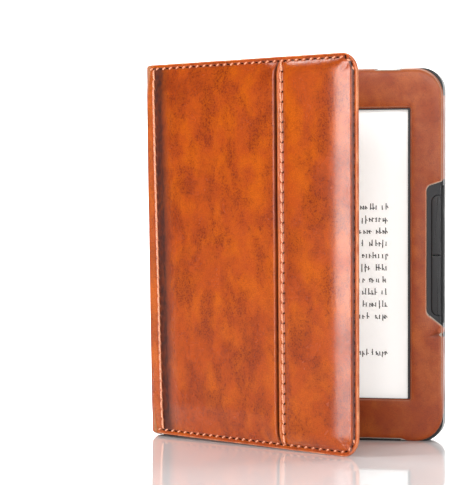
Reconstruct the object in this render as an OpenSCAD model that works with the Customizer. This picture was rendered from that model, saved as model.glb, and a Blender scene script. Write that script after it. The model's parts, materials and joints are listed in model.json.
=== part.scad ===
// A six-inch e-reader in a book-style leather folio, standing up with its cover part open.
// X runs to the right, Y away from the person reading, and Z up, all in millimetres.
// The origin is under the middle of the holder, on the surface that the folio stands on.
// The screen faces -Y. The holder is the pocket that grips the reader, and the spine and
// the cover hang on its left side by two leather hinges with upright axes.

/* [Reader] */
// Width of the reader's case
reader_w = 118; // [116:1:120]
// Height of the reader's case
reader_h = 157; // [154:1:160]
// Thickness of the reader's case
reader_t = 8; // [8:0.5:10]
// Radius of the case's corners
reader_corner_r = 11; // [11:0.5:12]
// Thickness of the case's walls at the sides
wall_t = 1.3; // [1.2:0.1:1.5]
// Width of the picture area that shows
page_w = 90; // [86:0.2:91]
// Height of the picture area that shows
page_h = 123.4; // [118:0.2:124]
// Height of the picture area's middle above the surface
page_mid_z = 79.7; // [78:0.1:81]

/* [Keys] */
// Width of a page key
key_w = 3.8; // [3:0.2:3.8]
// Height of one page key
key_h = 25.4; // [22:0.2:25.4]
// Gap between the upper and the lower key
key_gap = 0.3; // [0.2:0.1:0.6]
// Height of the joint between the two keys above the surface
key_split_z = 79.2; // [76:0.2:82]
// Radius of the key pair's inner corners
key_corner_r = 2.8; // [1:0.2:3]
// How far a key stands out of the bezel
key_proud = 0.3; // [0.1:0.1:0.6]
// How far the power button is from the middle
power_x = 36.5; // [30:0.5:40]
// How far the charging port is from the middle, on the left
port_x = -20; // [-24:1:-18]

/* [Holder] */
// Thickness of the leather on the frame
leather_t = 0.6; // [0.5:0.1:0.8]
// Thickness of the stiff core in the frame
core_t = 0.7; // [0.6:0.1:1]
// Thickness of the leather on the back
back_leather_t = 0.7; // [0.6:0.1:1]
// Width that the holder adds beside the reader, on each side
holder_side = 1; // [1:0.1:1.4]
// Radius of the frame leather's corners
frame_corner_r = 12; // [12:0.5:13]
// Width of the window in the frame
window_w = 92.2; // [91.4:0.2:93]
// Height of the window in the frame
window_h = 124.8; // [124.2:0.2:126]
// Height of the window's middle above the surface
window_mid_z = 79.9; // [79:0.1:81]
// Bottom of the key notch at the outer edge
notch_low_z = 48.4; // [46:0.2:50]
// Top of the key notch at the outer edge
notch_high_z = 111; // [110:0.2:113]

/* [Cover] */
// Width of the cover
cover_w = 125.3; // [124:0.1:128]
// Height of the cover and of the spine
cover_h = 160.5; // [159.5:0.5:163]
// Thickness of the cover
cover_t = 3.2; // [3:0.1:3.6]
// Distance between the spine's two fold lines
spine_w = 13.2; // [13:0.1:16]
// Radius of the cover's corners on its free side
free_corner_r = 8.5; // [6:0.5:10]
// Distance of the raised seam from the spine side
seam_u = 80.2; // [70:0.5:90]
// Distance between two stitches
stitch_pitch = 4.1; // [3.5:0.1:5]

/* [Rest pose] */
// How far the spine is folded open
spine_open = 14; // [0:1:60]
// How far the cover is folded open from the spine
cover_open = 20; // [0:1:100]

/* [Hidden] */
$fn = 48;
over = 1; // how far a cutter runs past what it cuts

// Layers of the holder, from the front face to the back face
lining_t = 0.4;
tray_floor_t = 0.9;
back_board_t = 0.7;
holder_t = leather_t + core_t + reader_t + lining_t + tray_floor_t + back_board_t
         + back_leather_t;
holder_front = -holder_t / 2;
core_front = holder_front + leather_t;
reader_front = core_front + core_t;
reader_back = reader_front + reader_t;
lining_back = reader_back + lining_t;
tray_back = lining_back + tray_floor_t;
board_back = tray_back + back_board_t;
holder_back = holder_t / 2;

// Outline of the holder and of the reader in it
holder_half = reader_w / 2 + holder_side;
holder_h = reader_h + 2 * holder_side;
reader_half = reader_w / 2;
reader_low = holder_side;
reader_high = holder_side + reader_h;
tray_corner_r = frame_corner_r - 3;
pocket_gap = 0.1;
skirt_t = 0.5;      // frame leather where it turns down the outer edge
skirt_depth = 1.4;  // how far it turns down behind its front sheet
rim_back = core_front + skirt_depth;
turn_t = 0.4;       // frame leather where it turns in at the window
lip_half = 42;      // half width of the tray's bare lip at the bottom
lip_h = 0.9;
window_low = window_mid_z - window_h / 2;
window_high = window_mid_z + window_h / 2;
notch_in = holder_half - 7;
notch_r = 2.6;
notch_shoulder = 7.6; // from the flared lower end up to the notch's lower corner
notch_wall_back = reader_front + 3.7;

// Layers of the reader, from the bezel to the rear shell
bezel_back = reader_front + 1.5;
touch_back = bezel_back + 0.5;
panel_back = touch_back + 1.2;
chassis_back = panel_back + 0.8;
board_front = chassis_back + 0.6;
board_rear = board_front + 1;
shell_inner = reader_back - 1.2;
case_split = reader_front + 3.5;
page_low = page_mid_z - page_h / 2;
page_high = page_mid_z + page_h / 2;

// Places on the boards
case_screw_places = [for (x = [-53, 53], z = [9, 79.5, 150]) [x, z]];
main_screw_places = [for (x = [-44, 44], z = [112, 146]) [x, z]];
port_screw_places = [for (side = [-1, 1]) [port_x + side * 10, 12]];
main_board_low = 108;
main_board_high = 150;
key_mid_x = reader_half - 2;
key_mid_z = [key_split_z - (key_gap + key_h) / 2, key_split_z + (key_gap + key_h) / 2];
key_slot_gap = 0.15;
key_travel = 0.35;
power_y = 0.7;

// Hinges. The spine turns about the back fold and the cover about the front fold.
spine_out = 1.2;   // spine's outer face beyond the folds
spine_in = 1;      // spine's inner face inside the folds
fold_x = -holder_half - 3.4;
back_fold_y = holder_back - 0.8;
spine_near = 1.2;  // clear of the back fold
spine_far = 2.35;  // clear of the front fold
cover_skin_t = 0.8;
cover_foam_t = 0.6;
cover_lining_t = 0.6;
cover_front = -cover_t / 2;
foam_front = cover_front + cover_skin_t;
cover_board_front = foam_front + cover_foam_t;
cover_lining_front = cover_t / 2 - cover_lining_t;
edge_w = 0.5;      // painted edge round the cover
core_inset = 3;    // cover's board inside its outline
core_left = 4;
spine_corner_r = 2.5;
magnet_u = cover_w - 10.7;
magnet_places = [40, 120];

// Stitches
stitch_l = 2.9;
stitch_w = 0.6;
stitch_up = 0.35;
stitch_inset = 2.2;
hinge_stitch_u = 6;
seam_ridge_w = 2.6;
seam_stitch_u = seam_u + 3.2;

// A flat outline with one corner radius on the left and one on the right
module outline(x0, x1, z0, z1, r_left, r_right) {
    translate([x0, z0 + r_left]) square([r_left, z1 - z0 - 2 * r_left]);
    translate([x1 - r_right, z0 + r_right]) square([r_right, z1 - z0 - 2 * r_right]);
    translate([x0 + r_left, z0]) square([x1 - x0 - r_left - r_right, z1 - z0]);
    for (z = [z0 + r_left, z1 - r_left]) translate([x0 + r_left, z]) circle(r = r_left);
    for (z = [z0 + r_right, z1 - r_right]) translate([x1 - r_right, z]) circle(r = r_right);
}

// Anything drawn flat, stood up and given its thickness from y0 back to y1
module stand_up(y0, y1) {
    translate([0, y1, 0]) rotate([90, 0, 0]) linear_extrude(y1 - y0) children();
}

// An upright plate with rounded corners
module plate(x0, x1, z0, z1, y0, y1, r_left, r_right) {
    stand_up(y0, y1) outline(x0, x1, z0, z1, r_left, r_right);
}

// A plate that is centred on the holder and set in from its outline
module holder_plate(inset, y0, y1, r) {
    plate(-holder_half + inset, holder_half - inset, inset, holder_h - inset, y0, y1, r, r);
}

// The same, set in from the reader's outline
module reader_plate(inset, y0, y1) {
    r = reader_corner_r - inset;
    plate(-reader_half + inset, reader_half - inset, reader_low + inset, reader_high - inset,
          y0, y1, r, r);
}

// A plain block between two corners
module block(x0, x1, y0, y1, z0, z1) {
    translate([x0, y0, z0]) cube([x1 - x0, y1 - y0, z1 - z0]);
}

// A round bar along Y
module bar_y(x, z, y0, y1, r) {
    translate([x, y1, z]) rotate([90, 0, 0]) cylinder(h = y1 - y0, r = r);
}

// The window through the frame
module window_hole(grow) {
    plate(-window_w / 2 - grow, window_w / 2 + grow, window_low - grow, window_high + grow,
          holder_front - over, rim_back + over, 1, 1);
}

// The flared notch that frees the page keys, on the right side
module key_notch() {
    stand_up(holder_front - over, rim_back + over) hull() {
        for (z = [notch_low_z + notch_shoulder, notch_high_z - 4.5])
            translate([notch_in + notch_r, z]) circle(r = notch_r, $fn = 32);
        for (z = [notch_low_z, notch_high_z])
            translate([holder_half + over, z]) circle(r = 0.05, $fn = 16);
    }
}

module key_notches() {
    key_notch();
    mirror([1, 0, 0]) key_notch();
}

// The room over the tray's bare lip
module lip_room() {
    block(-lip_half - 0.3, lip_half + 0.3, holder_front - over, rim_back + over, -over, lip_h);
}

// ---- Reader ----

// The outline of a pair of page keys on the right side, grown by gap and out to x1
module key_pair(gap, x1, y0, y1) {
    half_h = key_h + key_gap / 2 + gap;
    intersection() {
        plate(key_mid_x - key_w / 2 - gap, holder_half + 10, key_split_z - half_h,
              key_split_z + half_h, y0, y1, key_corner_r + gap, 1);
        block(0, x1, y0 - over, y1 + over, 0, reader_high);
    }
}

// Front half of the case, with the picture window and the slots for the page keys
module front_bezel() {
    color("dimgray") difference() {
        reader_plate(0, reader_front, case_split);
        reader_plate(wall_t, bezel_back, case_split + over);
        plate(-page_w / 2, page_w / 2, page_low, page_high, reader_front - over,
              bezel_back + over, 0.5, 0.5);
        for (side = [0, 1]) mirror([side, 0, 0])
            key_pair(key_slot_gap, reader_half + over, reader_front - over, bezel_back + 0.1);
    }
}

// Rear half of the case, with its screw holes, power slot and port opening
module rear_shell() {
    color("darkslategray") difference() {
        reader_plate(0, case_split, reader_back);
        reader_plate(wall_t, case_split - over, shell_inner);
        for (place = case_screw_places) {
            bar_y(place[0], place[1], shell_inner - over, reader_back, 1);
            bar_y(place[0], place[1], shell_inner + 0.4, reader_back + over, 1.6);
        }
        pill(power_x, power_y, reader_high - wall_t - over, reader_high + over, 3.3, 1.12);
        block(port_x - 4, port_x + 4, board_front - 0.6, shell_inner, reader_low - over,
              reader_low + wall_t + over);
    }
}

// A rounded bar along Z: half_l from its middle to each end's centre
module pill(x, y, z0, z1, half_l, r) {
    for (side = [-1, 1]) translate([x + side * half_l, y, z0]) cylinder(h = z1 - z0, r = r);
    block(x - half_l, x + half_l, y - r, y + r, z0, z1);
}

// Metal plate that carries the screen on its front and the boards behind it
module chassis() {
    color("silver") difference() {
        union() {
            reader_plate(wall_t + 0.3, panel_back, chassis_back);
            for (place = case_screw_places)
                bar_y(place[0], place[1], panel_back, shell_inner, 2.2);
            for (place = concat(main_screw_places, port_screw_places))
                bar_y(place[0], place[1], panel_back, board_front, 1.8);
        }
        for (place = case_screw_places)
            bar_y(place[0], place[1], chassis_back + 0.7, shell_inner + over, 0.8);
        for (place = concat(main_screw_places, port_screw_places))
            bar_y(place[0], place[1], chassis_back - 0.3, board_front + over, 0.7);
        block(-22, 22, panel_back - over, chassis_back + over, 147, reader_high);
        for (side = [0, 1]) mirror([side, 0, 0])
            block(50.4, 53.6, panel_back - over, chassis_back + over, 113.8, 116.2);
    }
}

// Clear touch sensor over the screen
module touch_panel() {
    color([0.8, 0.85, 0.85, 0.4])
        plate(-47.5, 47.5, 16.5, 143.5, bezel_back, touch_back, 1, 1);
}

// Electronic paper panel on its glass
module eink_panel() {
    color("whitesmoke") plate(-49.5, 49.5, 14, 146, touch_back, panel_back, 1, 1);
}

// Foam seal between the bezel and the screen, round the touch sensor
module screen_gasket() {
    color([0.12, 0.12, 0.12]) difference() {
        plate(-49.5, 49.5, 14.5, 145.5, bezel_back, touch_back, 1, 1);
        plate(-47.6, 47.6, 16.4, 143.6, bezel_back - over, touch_back + over, 1, 1);
    }
}

// Ribbon from the panel's top edge, round the chassis, to the front of the main board
module display_flex() {
    flex_t = 0.2;
    color("peru") {
        block(-19, 19, touch_back + 0.4, touch_back + 0.4 + flex_t, 146, 147.6);
        block(-19, 19, touch_back + 0.4, board_front, 147.4, 147.6);
        block(-19, 19, board_front - flex_t, board_front, 141, 147.6);
    }
}

// Circuit board with the processor, at the top of the case
module main_board() {
    color("seagreen") difference() {
        block(-48, 48, board_front, board_rear, main_board_low, main_board_high);
        for (place = main_screw_places)
            bar_y(place[0], place[1], board_front - over, board_rear + over, 0.75);
    }
}

// Processor, memory and power chips
module board_chips() {
    color([0.1, 0.1, 0.1]) {
        block(-27, -13, board_rear, board_rear + 1, 124, 138);
        block(-9, 3, board_rear, board_rear + 0.9, 125, 136);
        block(8, 16, board_rear, board_rear + 0.8, 115, 123);
    }
}

// Pressed metal lid over the radio
module shield_can() {
    color("lightgray") difference() {
        block(18, 40, board_rear, board_rear + 1.1, 126, 143);
        block(18.3, 39.7, board_rear - over, board_rear + 0.8, 126.3, 142.7);
    }
}

// Radio antenna along the board's left end
module wifi_antenna() {
    color("gold") {
        block(-47.5, -45.5, board_rear, board_rear + 0.6, 118, 140);
        block(-45.5, -41, board_rear, board_rear + 0.6, 138, 140);
        block(-45.5, -41, board_rear, board_rear + 0.6, 126, 128);
    }
}

// Chip that feels the cover's magnet and wakes the reader
module hall_sensor() {
    color([0.15, 0.15, 0.15]) block(44.5, 47.5, board_rear, board_rear + 0.9, 119.2, 120.8);
}

// Flat pouch cell
module battery() {
    color("lightsteelblue")
        plate(-24, 44, 24, 102, chassis_back, shell_inner - 0.2, 2, 2);
}

// Plug and wires from the cell to the main board
module battery_lead() {
    wire_y = board_rear + 0.5;
    color("firebrick") {
        block(6, 14, board_rear, board_rear + 1.1, 108.6, 112.4);
        for (x = [8, 10, 12])
            translate([x, wire_y, 102]) cylinder(h = 7, r = 0.45, $fn = 24);
    }
}

// Small board that carries the charging port
module port_board() {
    color("seagreen") difference() {
        block(port_x - 14, port_x + 14, board_front, board_rear, 3.2, 18);
        block(port_x - 4, port_x + 4, board_front - over, board_rear + over, 3.2 - over, 7.4);
        for (place = port_screw_places)
            bar_y(place[0], place[1], board_front - over, board_rear + over, 0.75);
    }
}

// Charging and data socket, open at the bottom
module charging_port() {
    back = shell_inner - 0.1;
    front = board_front - 0.5;
    middle = (front + back) / 2;
    color("gainsboro") difference() {
        block(port_x - 3.9, port_x + 3.9, front, back, reader_low + 0.2, 7.3);
        block(port_x - 3.6, port_x + 3.6, front + 0.3, back - 0.3, reader_low - over, 6.8);
    }
    color("gainsboro") block(port_x - 2.7, port_x + 2.7, middle - 0.3, middle + 0.3,
                             reader_low + 0.8, 6.9);
}

// Ribbon between the two boards, beside the cell
module port_flex() {
    color("peru") block(port_x - 13, port_x - 8, board_rear, board_rear + 0.15, 15, 111);
}

// Strip of circuit board behind the right page keys
module key_board() {
    block(50.3, 56.3, panel_back - 0.6, panel_back, key_mid_z[0] - 10.5, key_mid_z[1] + 10.5);
}

module right_key_board() color("seagreen") key_board();
module left_key_board() color("seagreen") mirror([1, 0, 0]) key_board();

// Ribbons from the key boards, through the chassis, to the main board
module key_flexes() {
    flex_t = 0.15;
    top = key_mid_z[1] + 10.5;
    color("peru") for (side = [0, 1]) mirror([side, 0, 0]) {
        block(50.6, 53.4, panel_back - flex_t, panel_back, top, 116);
        block(50.6, 53.4, panel_back - flex_t, chassis_back + flex_t, 114, 116);
        block(46, 53.4, chassis_back, chassis_back + flex_t, 114, 116);
        block(46, 47, chassis_back, board_front, 114, 116);
    }
}

// Snap domes under the keys, one for each key
module key_domes() {
    color("lightgray") for (x = [-key_mid_x + 2.6, key_mid_x - 2.6], z = key_mid_z)
        bar_y(x, z, panel_back - 0.95, panel_back - 0.6, 1.8);
}

// Switch that the power button presses, at the main board's top edge
module power_switch() {
    color([0.2, 0.2, 0.2]) {
        block(power_x - 3.5, power_x + 3.5, board_rear, shell_inner - 0.1, 148, 152.5);
        block(power_x - 0.8, power_x + 0.8, board_rear + 0.1, shell_inner - 0.3, 152.5, 154.7);
    }
}

// Screws that close the case
module case_screws() {
    head_front = shell_inner + 0.4;
    color("silver") for (place = case_screw_places) difference() {
        union() {
            bar_y(place[0], place[1], head_front, reader_back - 0.05, 1.5);
            bar_y(place[0], place[1], chassis_back + 0.9, head_front, 0.8);
        }
        for (turn = [0, 90]) translate([place[0], reader_back, place[1]])
            rotate([0, turn, 0]) cube([1.6, 0.9, 0.3], center = true);
    }
}

// Screws that hold the two boards on the chassis
module board_screws() {
    color("silver") for (place = concat(main_screw_places, port_screw_places))
        difference() {
            union() {
                bar_y(place[0], place[1], board_rear, board_rear + 0.5, 1.3);
                bar_y(place[0], place[1], chassis_back - 0.2, board_rear, 0.7);
            }
            for (turn = [0, 90]) translate([place[0], board_rear + 0.5, place[1]])
                rotate([0, turn, 0]) cube([1.3, 0.5, 0.25], center = true);
        }
}

// One page key on the right side: a cap in the slot and a flange behind the bezel
module page_key(z) {
    cap_out = key_mid_x + key_w / 2;
    stem_out = key_mid_x + 0.4;
    intersection() {
        union() {
            key_pair(0, cap_out, reader_front - key_proud, bezel_back - key_travel - 0.1);
            key_pair(0, stem_out, reader_front, bezel_back + 0.15);
        }
        block(0, holder_half, holder_front - over, reader_back, z - key_h / 2, z + key_h / 2);
    }
    block(key_mid_x - 3.6, stem_out, bezel_back + 0.05, bezel_back + 0.35,
          z - key_h / 2 + 0.4, z + key_h / 2 - 0.4);
}

module right_upper_key() color("dimgray") page_key(key_mid_z[1]);
module right_lower_key() color("dimgray") page_key(key_mid_z[0]);
module left_upper_key() color("dimgray") mirror([1, 0, 0]) page_key(key_mid_z[1]);
module left_lower_key() color("dimgray") mirror([1, 0, 0]) page_key(key_mid_z[0]);

// Power button in the top edge, with its flange and stem inside
module power_button() {
    flange_top = reader_high - wall_t - 0.3;
    color("gray") {
        pill(power_x, power_y, flange_top, reader_high + 0.4, 3.3, 1);
        block(power_x - 5.2, power_x + 5.2, power_y - 1.2, power_y + 1.2, flange_top - 0.5,
              flange_top);
        block(power_x - 1.2, power_x + 1.2, power_y - 1, power_y + 1, flange_top - 0.8,
              flange_top - 0.5);
    }
}

// ---- Holder ----

// Leather over the front of the holder, turned in at the window and down the outer edge
module frame_leather() {
    color("sienna") difference() {
        union() {
            holder_plate(0, holder_front, core_front, frame_corner_r);
            difference() {
                holder_plate(0, core_front, rim_back, frame_corner_r);
                holder_plate(skirt_t, core_front - over, rim_back + over,
                             frame_corner_r - skirt_t);
            }
            intersection() {
                window_hole(turn_t);
                holder_plate(skirt_t, core_front, reader_front, frame_corner_r);
            }
        }
        window_hole(0);
        key_notches();
        lip_room();
        block(power_x - 4.6, power_x + 4.6, holder_front - over, rim_back + over,
              holder_h - 0.4, holder_h + over);
    }
}

// Stiff sheet inside the frame leather
module frame_core() {
    color("tan") difference() {
        holder_plate(skirt_t, core_front, reader_front, frame_corner_r - skirt_t);
        window_hole(turn_t);
        key_notches();
        lip_room();
        steel_plates(0);
    }
}

// Steel strips in the frame that the cover's magnets pull on
module steel_plates(cut) {
    for (z = magnet_places)
        block(47.5, 52.5, core_front - cut, reader_front + cut, z - 9, z + 9);
}

module frame_steel_plates() color("silver") steel_plates(0);

// Moulded tray that grips the reader, open at the front, with a bare lip at the bottom
module holder_tray() {
    color([0.08, 0.08, 0.08]) difference() {
        union() {
            holder_plate(skirt_t, reader_front, rim_back, frame_corner_r - skirt_t);
            holder_plate(0, rim_back, tray_back, tray_corner_r);
            block(-lip_half, lip_half, core_front, rim_back, 0, lip_h);
        }
        reader_plate(-pocket_gap, reader_front - over, lining_back);
        block(power_x - 5, power_x + 5, reader_front - over, reader_back, reader_high,
              holder_h + over);
        block(port_x - 8, port_x + 8, -3.4, 3.2, -over, reader_low + over);
        for (side = [0, 1]) mirror([side, 0, 0])
            block(reader_half, holder_half + over, reader_front - over, notch_wall_back,
                  notch_low_z + 2, notch_high_z - 2);
    }
}

// Soft lining between the reader and the tray's floor
module tray_lining() {
    color("saddlebrown")
        plate(-reader_half + 1, reader_half - 1, reader_low + 1, reader_high - 1, reader_back,
              lining_back, 9, 9);
}

// Board in the holder's back
module back_board() {
    color("tan") holder_plate(0.7, tray_back, board_back, tray_corner_r - 0.7);
}

// Leather over the holder's back, out to the fold on the left
module back_leather() {
    color("sienna") union() {
        plate(fold_x + 1, holder_half, 0, holder_h, board_back, holder_back, 1, tray_corner_r);
        difference() {
            holder_plate(0, tray_back, board_back, tray_corner_r);
            holder_plate(0.7, tray_back - over, board_back + over, tray_corner_r - 0.7);
        }
    }
}

// ---- Spine and cover, each drawn closed about its own fold and then turned open ----

module on_spine() {
    translate([fold_x, back_fold_y, 0]) rotate([0, 0, -spine_open]) children();
}

module on_cover() {
    on_spine() translate([0, -spine_w, 0]) rotate([0, 0, -cover_open]) children();
}

// Leather strip of the spine, turned in at its top and bottom
module spine_leather() {
    color("peru") on_spine() difference() {
        block(-spine_out, 0.4, -spine_w + spine_far, -spine_near, 0, cover_h);
        block(-0.4, 0.4 + over, -spine_w + spine_far + 0.6, -spine_near - 0.6, 2,
              cover_h - 2);
    }
}

module spine_board() {
    color("tan") on_spine()
        block(-0.4, 0.4, -spine_w + spine_far + 0.6, -spine_near - 0.6, 2, cover_h - 2);
}

module spine_lining() {
    color("saddlebrown") on_spine()
        block(0.4, spine_in, -spine_w + spine_far, -spine_near, 0, cover_h);
}

// The cover's outline set in from its free edges, from y0 back to y1
module cover_plate(inset, left, y0, y1) {
    plate(left - spine_out, cover_w - inset - spine_out, inset, cover_h - inset, y0, y1,
          spine_corner_r, free_corner_r - inset);
}

// The space that the cover's foam and board fill
module cover_core(y0, y1) {
    cover_plate(core_inset, core_left, y0, y1);
}

// A stretch of the cover between two distances from its spine side
module cover_stretch(u0, u1) {
    block(u0 - spine_out, u1 - spine_out, cover_front - over, cover_t, -over, cover_h + over);
}

module cover_skin() {
    difference() {
        cover_plate(edge_w, 0, cover_front, cover_lining_front);
        cover_core(foam_front, cover_lining_front + over);
    }
}

// Outer leather from the spine side to the seam, with the pressed groove of the fold
module cover_leather_left() {
    color("peru") on_cover() difference() {
        intersection() {
            cover_skin();
            cover_stretch(0, seam_u);
        }
        block(hinge_stitch_u + 1 - spine_out, hinge_stitch_u + 4 - spine_out,
              cover_front - over, cover_front + 0.3, -over, cover_h + over);
    }
}

// Outer leather from the seam to the free edge, with its folded ridge at the seam
module cover_leather_right() {
    color("peru") on_cover() union() {
        intersection() {
            cover_skin();
            cover_stretch(seam_u, cover_w);
        }
        block(seam_u - spine_out, seam_u + seam_ridge_w - spine_out, cover_front - 0.4,
              cover_front, edge_w, cover_h - edge_w);
    }
}

module cover_foam() {
    color("lightyellow") on_cover() cover_core(foam_front, cover_board_front);
}

module cover_board() {
    color("tan") on_cover() difference() {
        cover_core(cover_board_front, cover_lining_front);
        for (z = magnet_places)
            bar_y(magnet_u - spine_out, z, cover_board_front, cover_lining_front + over, 4.1);
    }
}

// Suede inside the cover
module cover_lining() {
    color("saddlebrown") on_cover() cover_plate(edge_w, 0, cover_lining_front, cover_t / 2);
}

// Painted edge round the three free sides
module cover_edge() {
    color("rosybrown") on_cover() difference() {
        cover_plate(0, 0, cover_front + 0.3, cover_t / 2 - 0.3);
        plate(-spine_out - over, cover_w - edge_w - spine_out, edge_w, cover_h - edge_w,
              cover_front - over, cover_t, 0.01, free_corner_r - edge_w);
        block(-spine_out - over, -spine_out + spine_corner_r, cover_front - over, cover_t, -over,
              cover_h + over);
    }
}

module cover_magnets() {
    color("silver") on_cover() for (z = magnet_places)
        bar_y(magnet_u - spine_out, z, cover_board_front + 0.1, cover_lining_front, 4);
}

// One stitch lying on the leather at (u, z), turned by angle from upright
module stitch(u, z, angle) {
    translate([u - spine_out, cover_front, z]) rotate([0, angle, 0])
        translate([-stitch_w / 2, -stitch_up, -stitch_l / 2])
            cube([stitch_w, stitch_up, stitch_l]);
}

// The line of stitches round the free sides: along the bottom, up the side, and back
stitch_r = free_corner_r - stitch_inset;
run_start = hinge_stitch_u + 2.4;
run_l = cover_w - free_corner_r - run_start;
side_l = cover_h - 2 * free_corner_r;
bend_l = PI * stitch_r / 2;
line_l = 2 * run_l + 2 * bend_l + side_l;
corner_u = cover_w - free_corner_r;

// Where a stitch lies at distance s along that line, as [u, z, angle]
function bend_place(turn, z_mid) =
    [corner_u + stitch_r * sin(turn), z_mid - stitch_r * cos(turn), 90 - turn];
function line_place(s) =
    s < run_l ? [run_start + s, stitch_inset, 90]
    : s < run_l + bend_l ? bend_place(90 * (s - run_l) / bend_l, free_corner_r)
    : s < run_l + bend_l + side_l
        ? [cover_w - stitch_inset, free_corner_r + s - run_l - bend_l, 0]
    : s < line_l - run_l
        ? bend_place(90 + 90 * (s - run_l - bend_l - side_l) / bend_l, cover_h - free_corner_r)
    : [run_start + line_l - s, cover_h - stitch_inset, 90];

module cover_edge_stitching() {
    count = floor(line_l / stitch_pitch);
    color("peachpuff") on_cover() for (i = [0 : count - 1]) {
        place = line_place((i + 0.5) * line_l / count);
        // the seam's ridge and its own stitches take the place of those under it
        if (abs(place[0] - seam_u - 1.6) > 3.6) stitch(place[0], place[1], place[2]);
    }
}

// A straight row of stitches from the bottom to the top
module stitch_row(u) {
    count = floor((cover_h - 2 * stitch_inset) / stitch_pitch);
    pitch = (cover_h - 2 * stitch_inset) / count;
    for (i = [0 : count - 1]) stitch(u, stitch_inset + (i + 0.5) * pitch, 0);
}

module cover_hinge_stitching() color("peachpuff") on_cover() stitch_row(hinge_stitch_u);
module cover_seam_stitching() color("peachpuff") on_cover() stitch_row(seam_stitch_u);

front_bezel();
rear_shell();
chassis();
touch_panel();
eink_panel();
screen_gasket();
display_flex();
main_board();
board_chips();
shield_can();
wifi_antenna();
hall_sensor();
battery();
battery_lead();
port_board();
charging_port();
port_flex();
left_key_board();
right_key_board();
key_flexes();
key_domes();
power_switch();
case_screws();
board_screws();
left_upper_key();
left_lower_key();
right_upper_key();
right_lower_key();
power_button();
frame_leather();
frame_core();
frame_steel_plates();
holder_tray();
tray_lining();
back_board();
back_leather();
spine_leather();
spine_board();
spine_lining();
cover_leather_left();
cover_leather_right();
cover_foam();
cover_board();
cover_lining();
cover_edge();
cover_magnets();
cover_edge_stitching();
cover_hinge_stitching();
cover_seam_stitching();
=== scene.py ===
import bisect
import json
import math
import random

import bmesh
import bpy
from bpy.props import FloatProperty, FloatVectorProperty, PointerProperty
from mathutils import Matrix, Vector, noise
from mathutils.geometry import delaunay_2d_cdt


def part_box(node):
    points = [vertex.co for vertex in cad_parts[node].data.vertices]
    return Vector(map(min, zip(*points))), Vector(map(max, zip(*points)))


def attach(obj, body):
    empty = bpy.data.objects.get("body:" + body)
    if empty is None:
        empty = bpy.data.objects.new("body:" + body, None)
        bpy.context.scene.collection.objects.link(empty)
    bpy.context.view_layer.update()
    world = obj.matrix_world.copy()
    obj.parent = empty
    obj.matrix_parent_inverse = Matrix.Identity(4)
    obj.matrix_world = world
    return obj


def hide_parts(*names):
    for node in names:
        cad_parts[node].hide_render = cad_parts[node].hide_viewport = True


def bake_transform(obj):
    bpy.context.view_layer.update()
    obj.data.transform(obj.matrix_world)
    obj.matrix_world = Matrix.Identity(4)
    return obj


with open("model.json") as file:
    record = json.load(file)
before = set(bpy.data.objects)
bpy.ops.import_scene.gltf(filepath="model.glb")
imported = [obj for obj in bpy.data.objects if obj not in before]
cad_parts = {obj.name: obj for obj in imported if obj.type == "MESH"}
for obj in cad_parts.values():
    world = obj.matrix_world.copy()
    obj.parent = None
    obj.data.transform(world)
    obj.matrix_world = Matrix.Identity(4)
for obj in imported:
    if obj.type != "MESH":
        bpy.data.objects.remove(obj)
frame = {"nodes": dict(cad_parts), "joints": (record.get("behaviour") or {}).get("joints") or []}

bl_info = {
    "name": "E-reader folio",
    "version": (1, 0, 0),
    "blender": (4, 5, 0),
    "location": "3D View > Sidebar > Folio",
    "description": "Leather, stitching, page and finishes for an e-reader in a book-style folio",
    "category": "Object",
}

# Lengths inside the builders are millimetres. Shape.build turns them into metres.
MM = 0.001
UP = Vector((0, 0, 1))
JOINTS = {joint["name"]: joint for joint in frame["joints"]}


# ---------------------------------------------------------------- places from the frame

def corner_mm(node, high):
    """A node's lowest or highest corner, in millimetres."""
    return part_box(node)[1 if high else 0] / MM


def turned(vector, degrees):
    """A level vector turned clockwise as seen from above."""
    return Matrix.Rotation(-math.radians(degrees), 3, "Z") @ Vector(vector)


BACK_FOLD = Vector(JOINTS["spine_hinge"]["pos_m"]) / MM
FRONT_FOLD = Vector(JOINTS["cover_hinge"]["pos_m"]) / MM
BACK_FOLD.z = FRONT_FOLD.z = 0
SPINE_OPEN = -JOINTS["spine_hinge"]["range_deg"][0]
COVER_OPEN = SPINE_OPEN - JOINTS["cover_hinge"]["range_deg"][0]
HOLDER_LOW, HOLDER_HIGH = corner_mm("frame_leather", False), corner_mm("frame_leather", True)
HOLDER_HALF = HOLDER_HIGH.x
HOLDER_H = HOLDER_HIGH.z
HOLDER_FRONT = HOLDER_LOW.y
BEZEL_FRONT = corner_mm("front_bezel", False).y
COVER_H = corner_mm("cover_edge", True).z
FOLD_OVERHANG = 1.2


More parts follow.
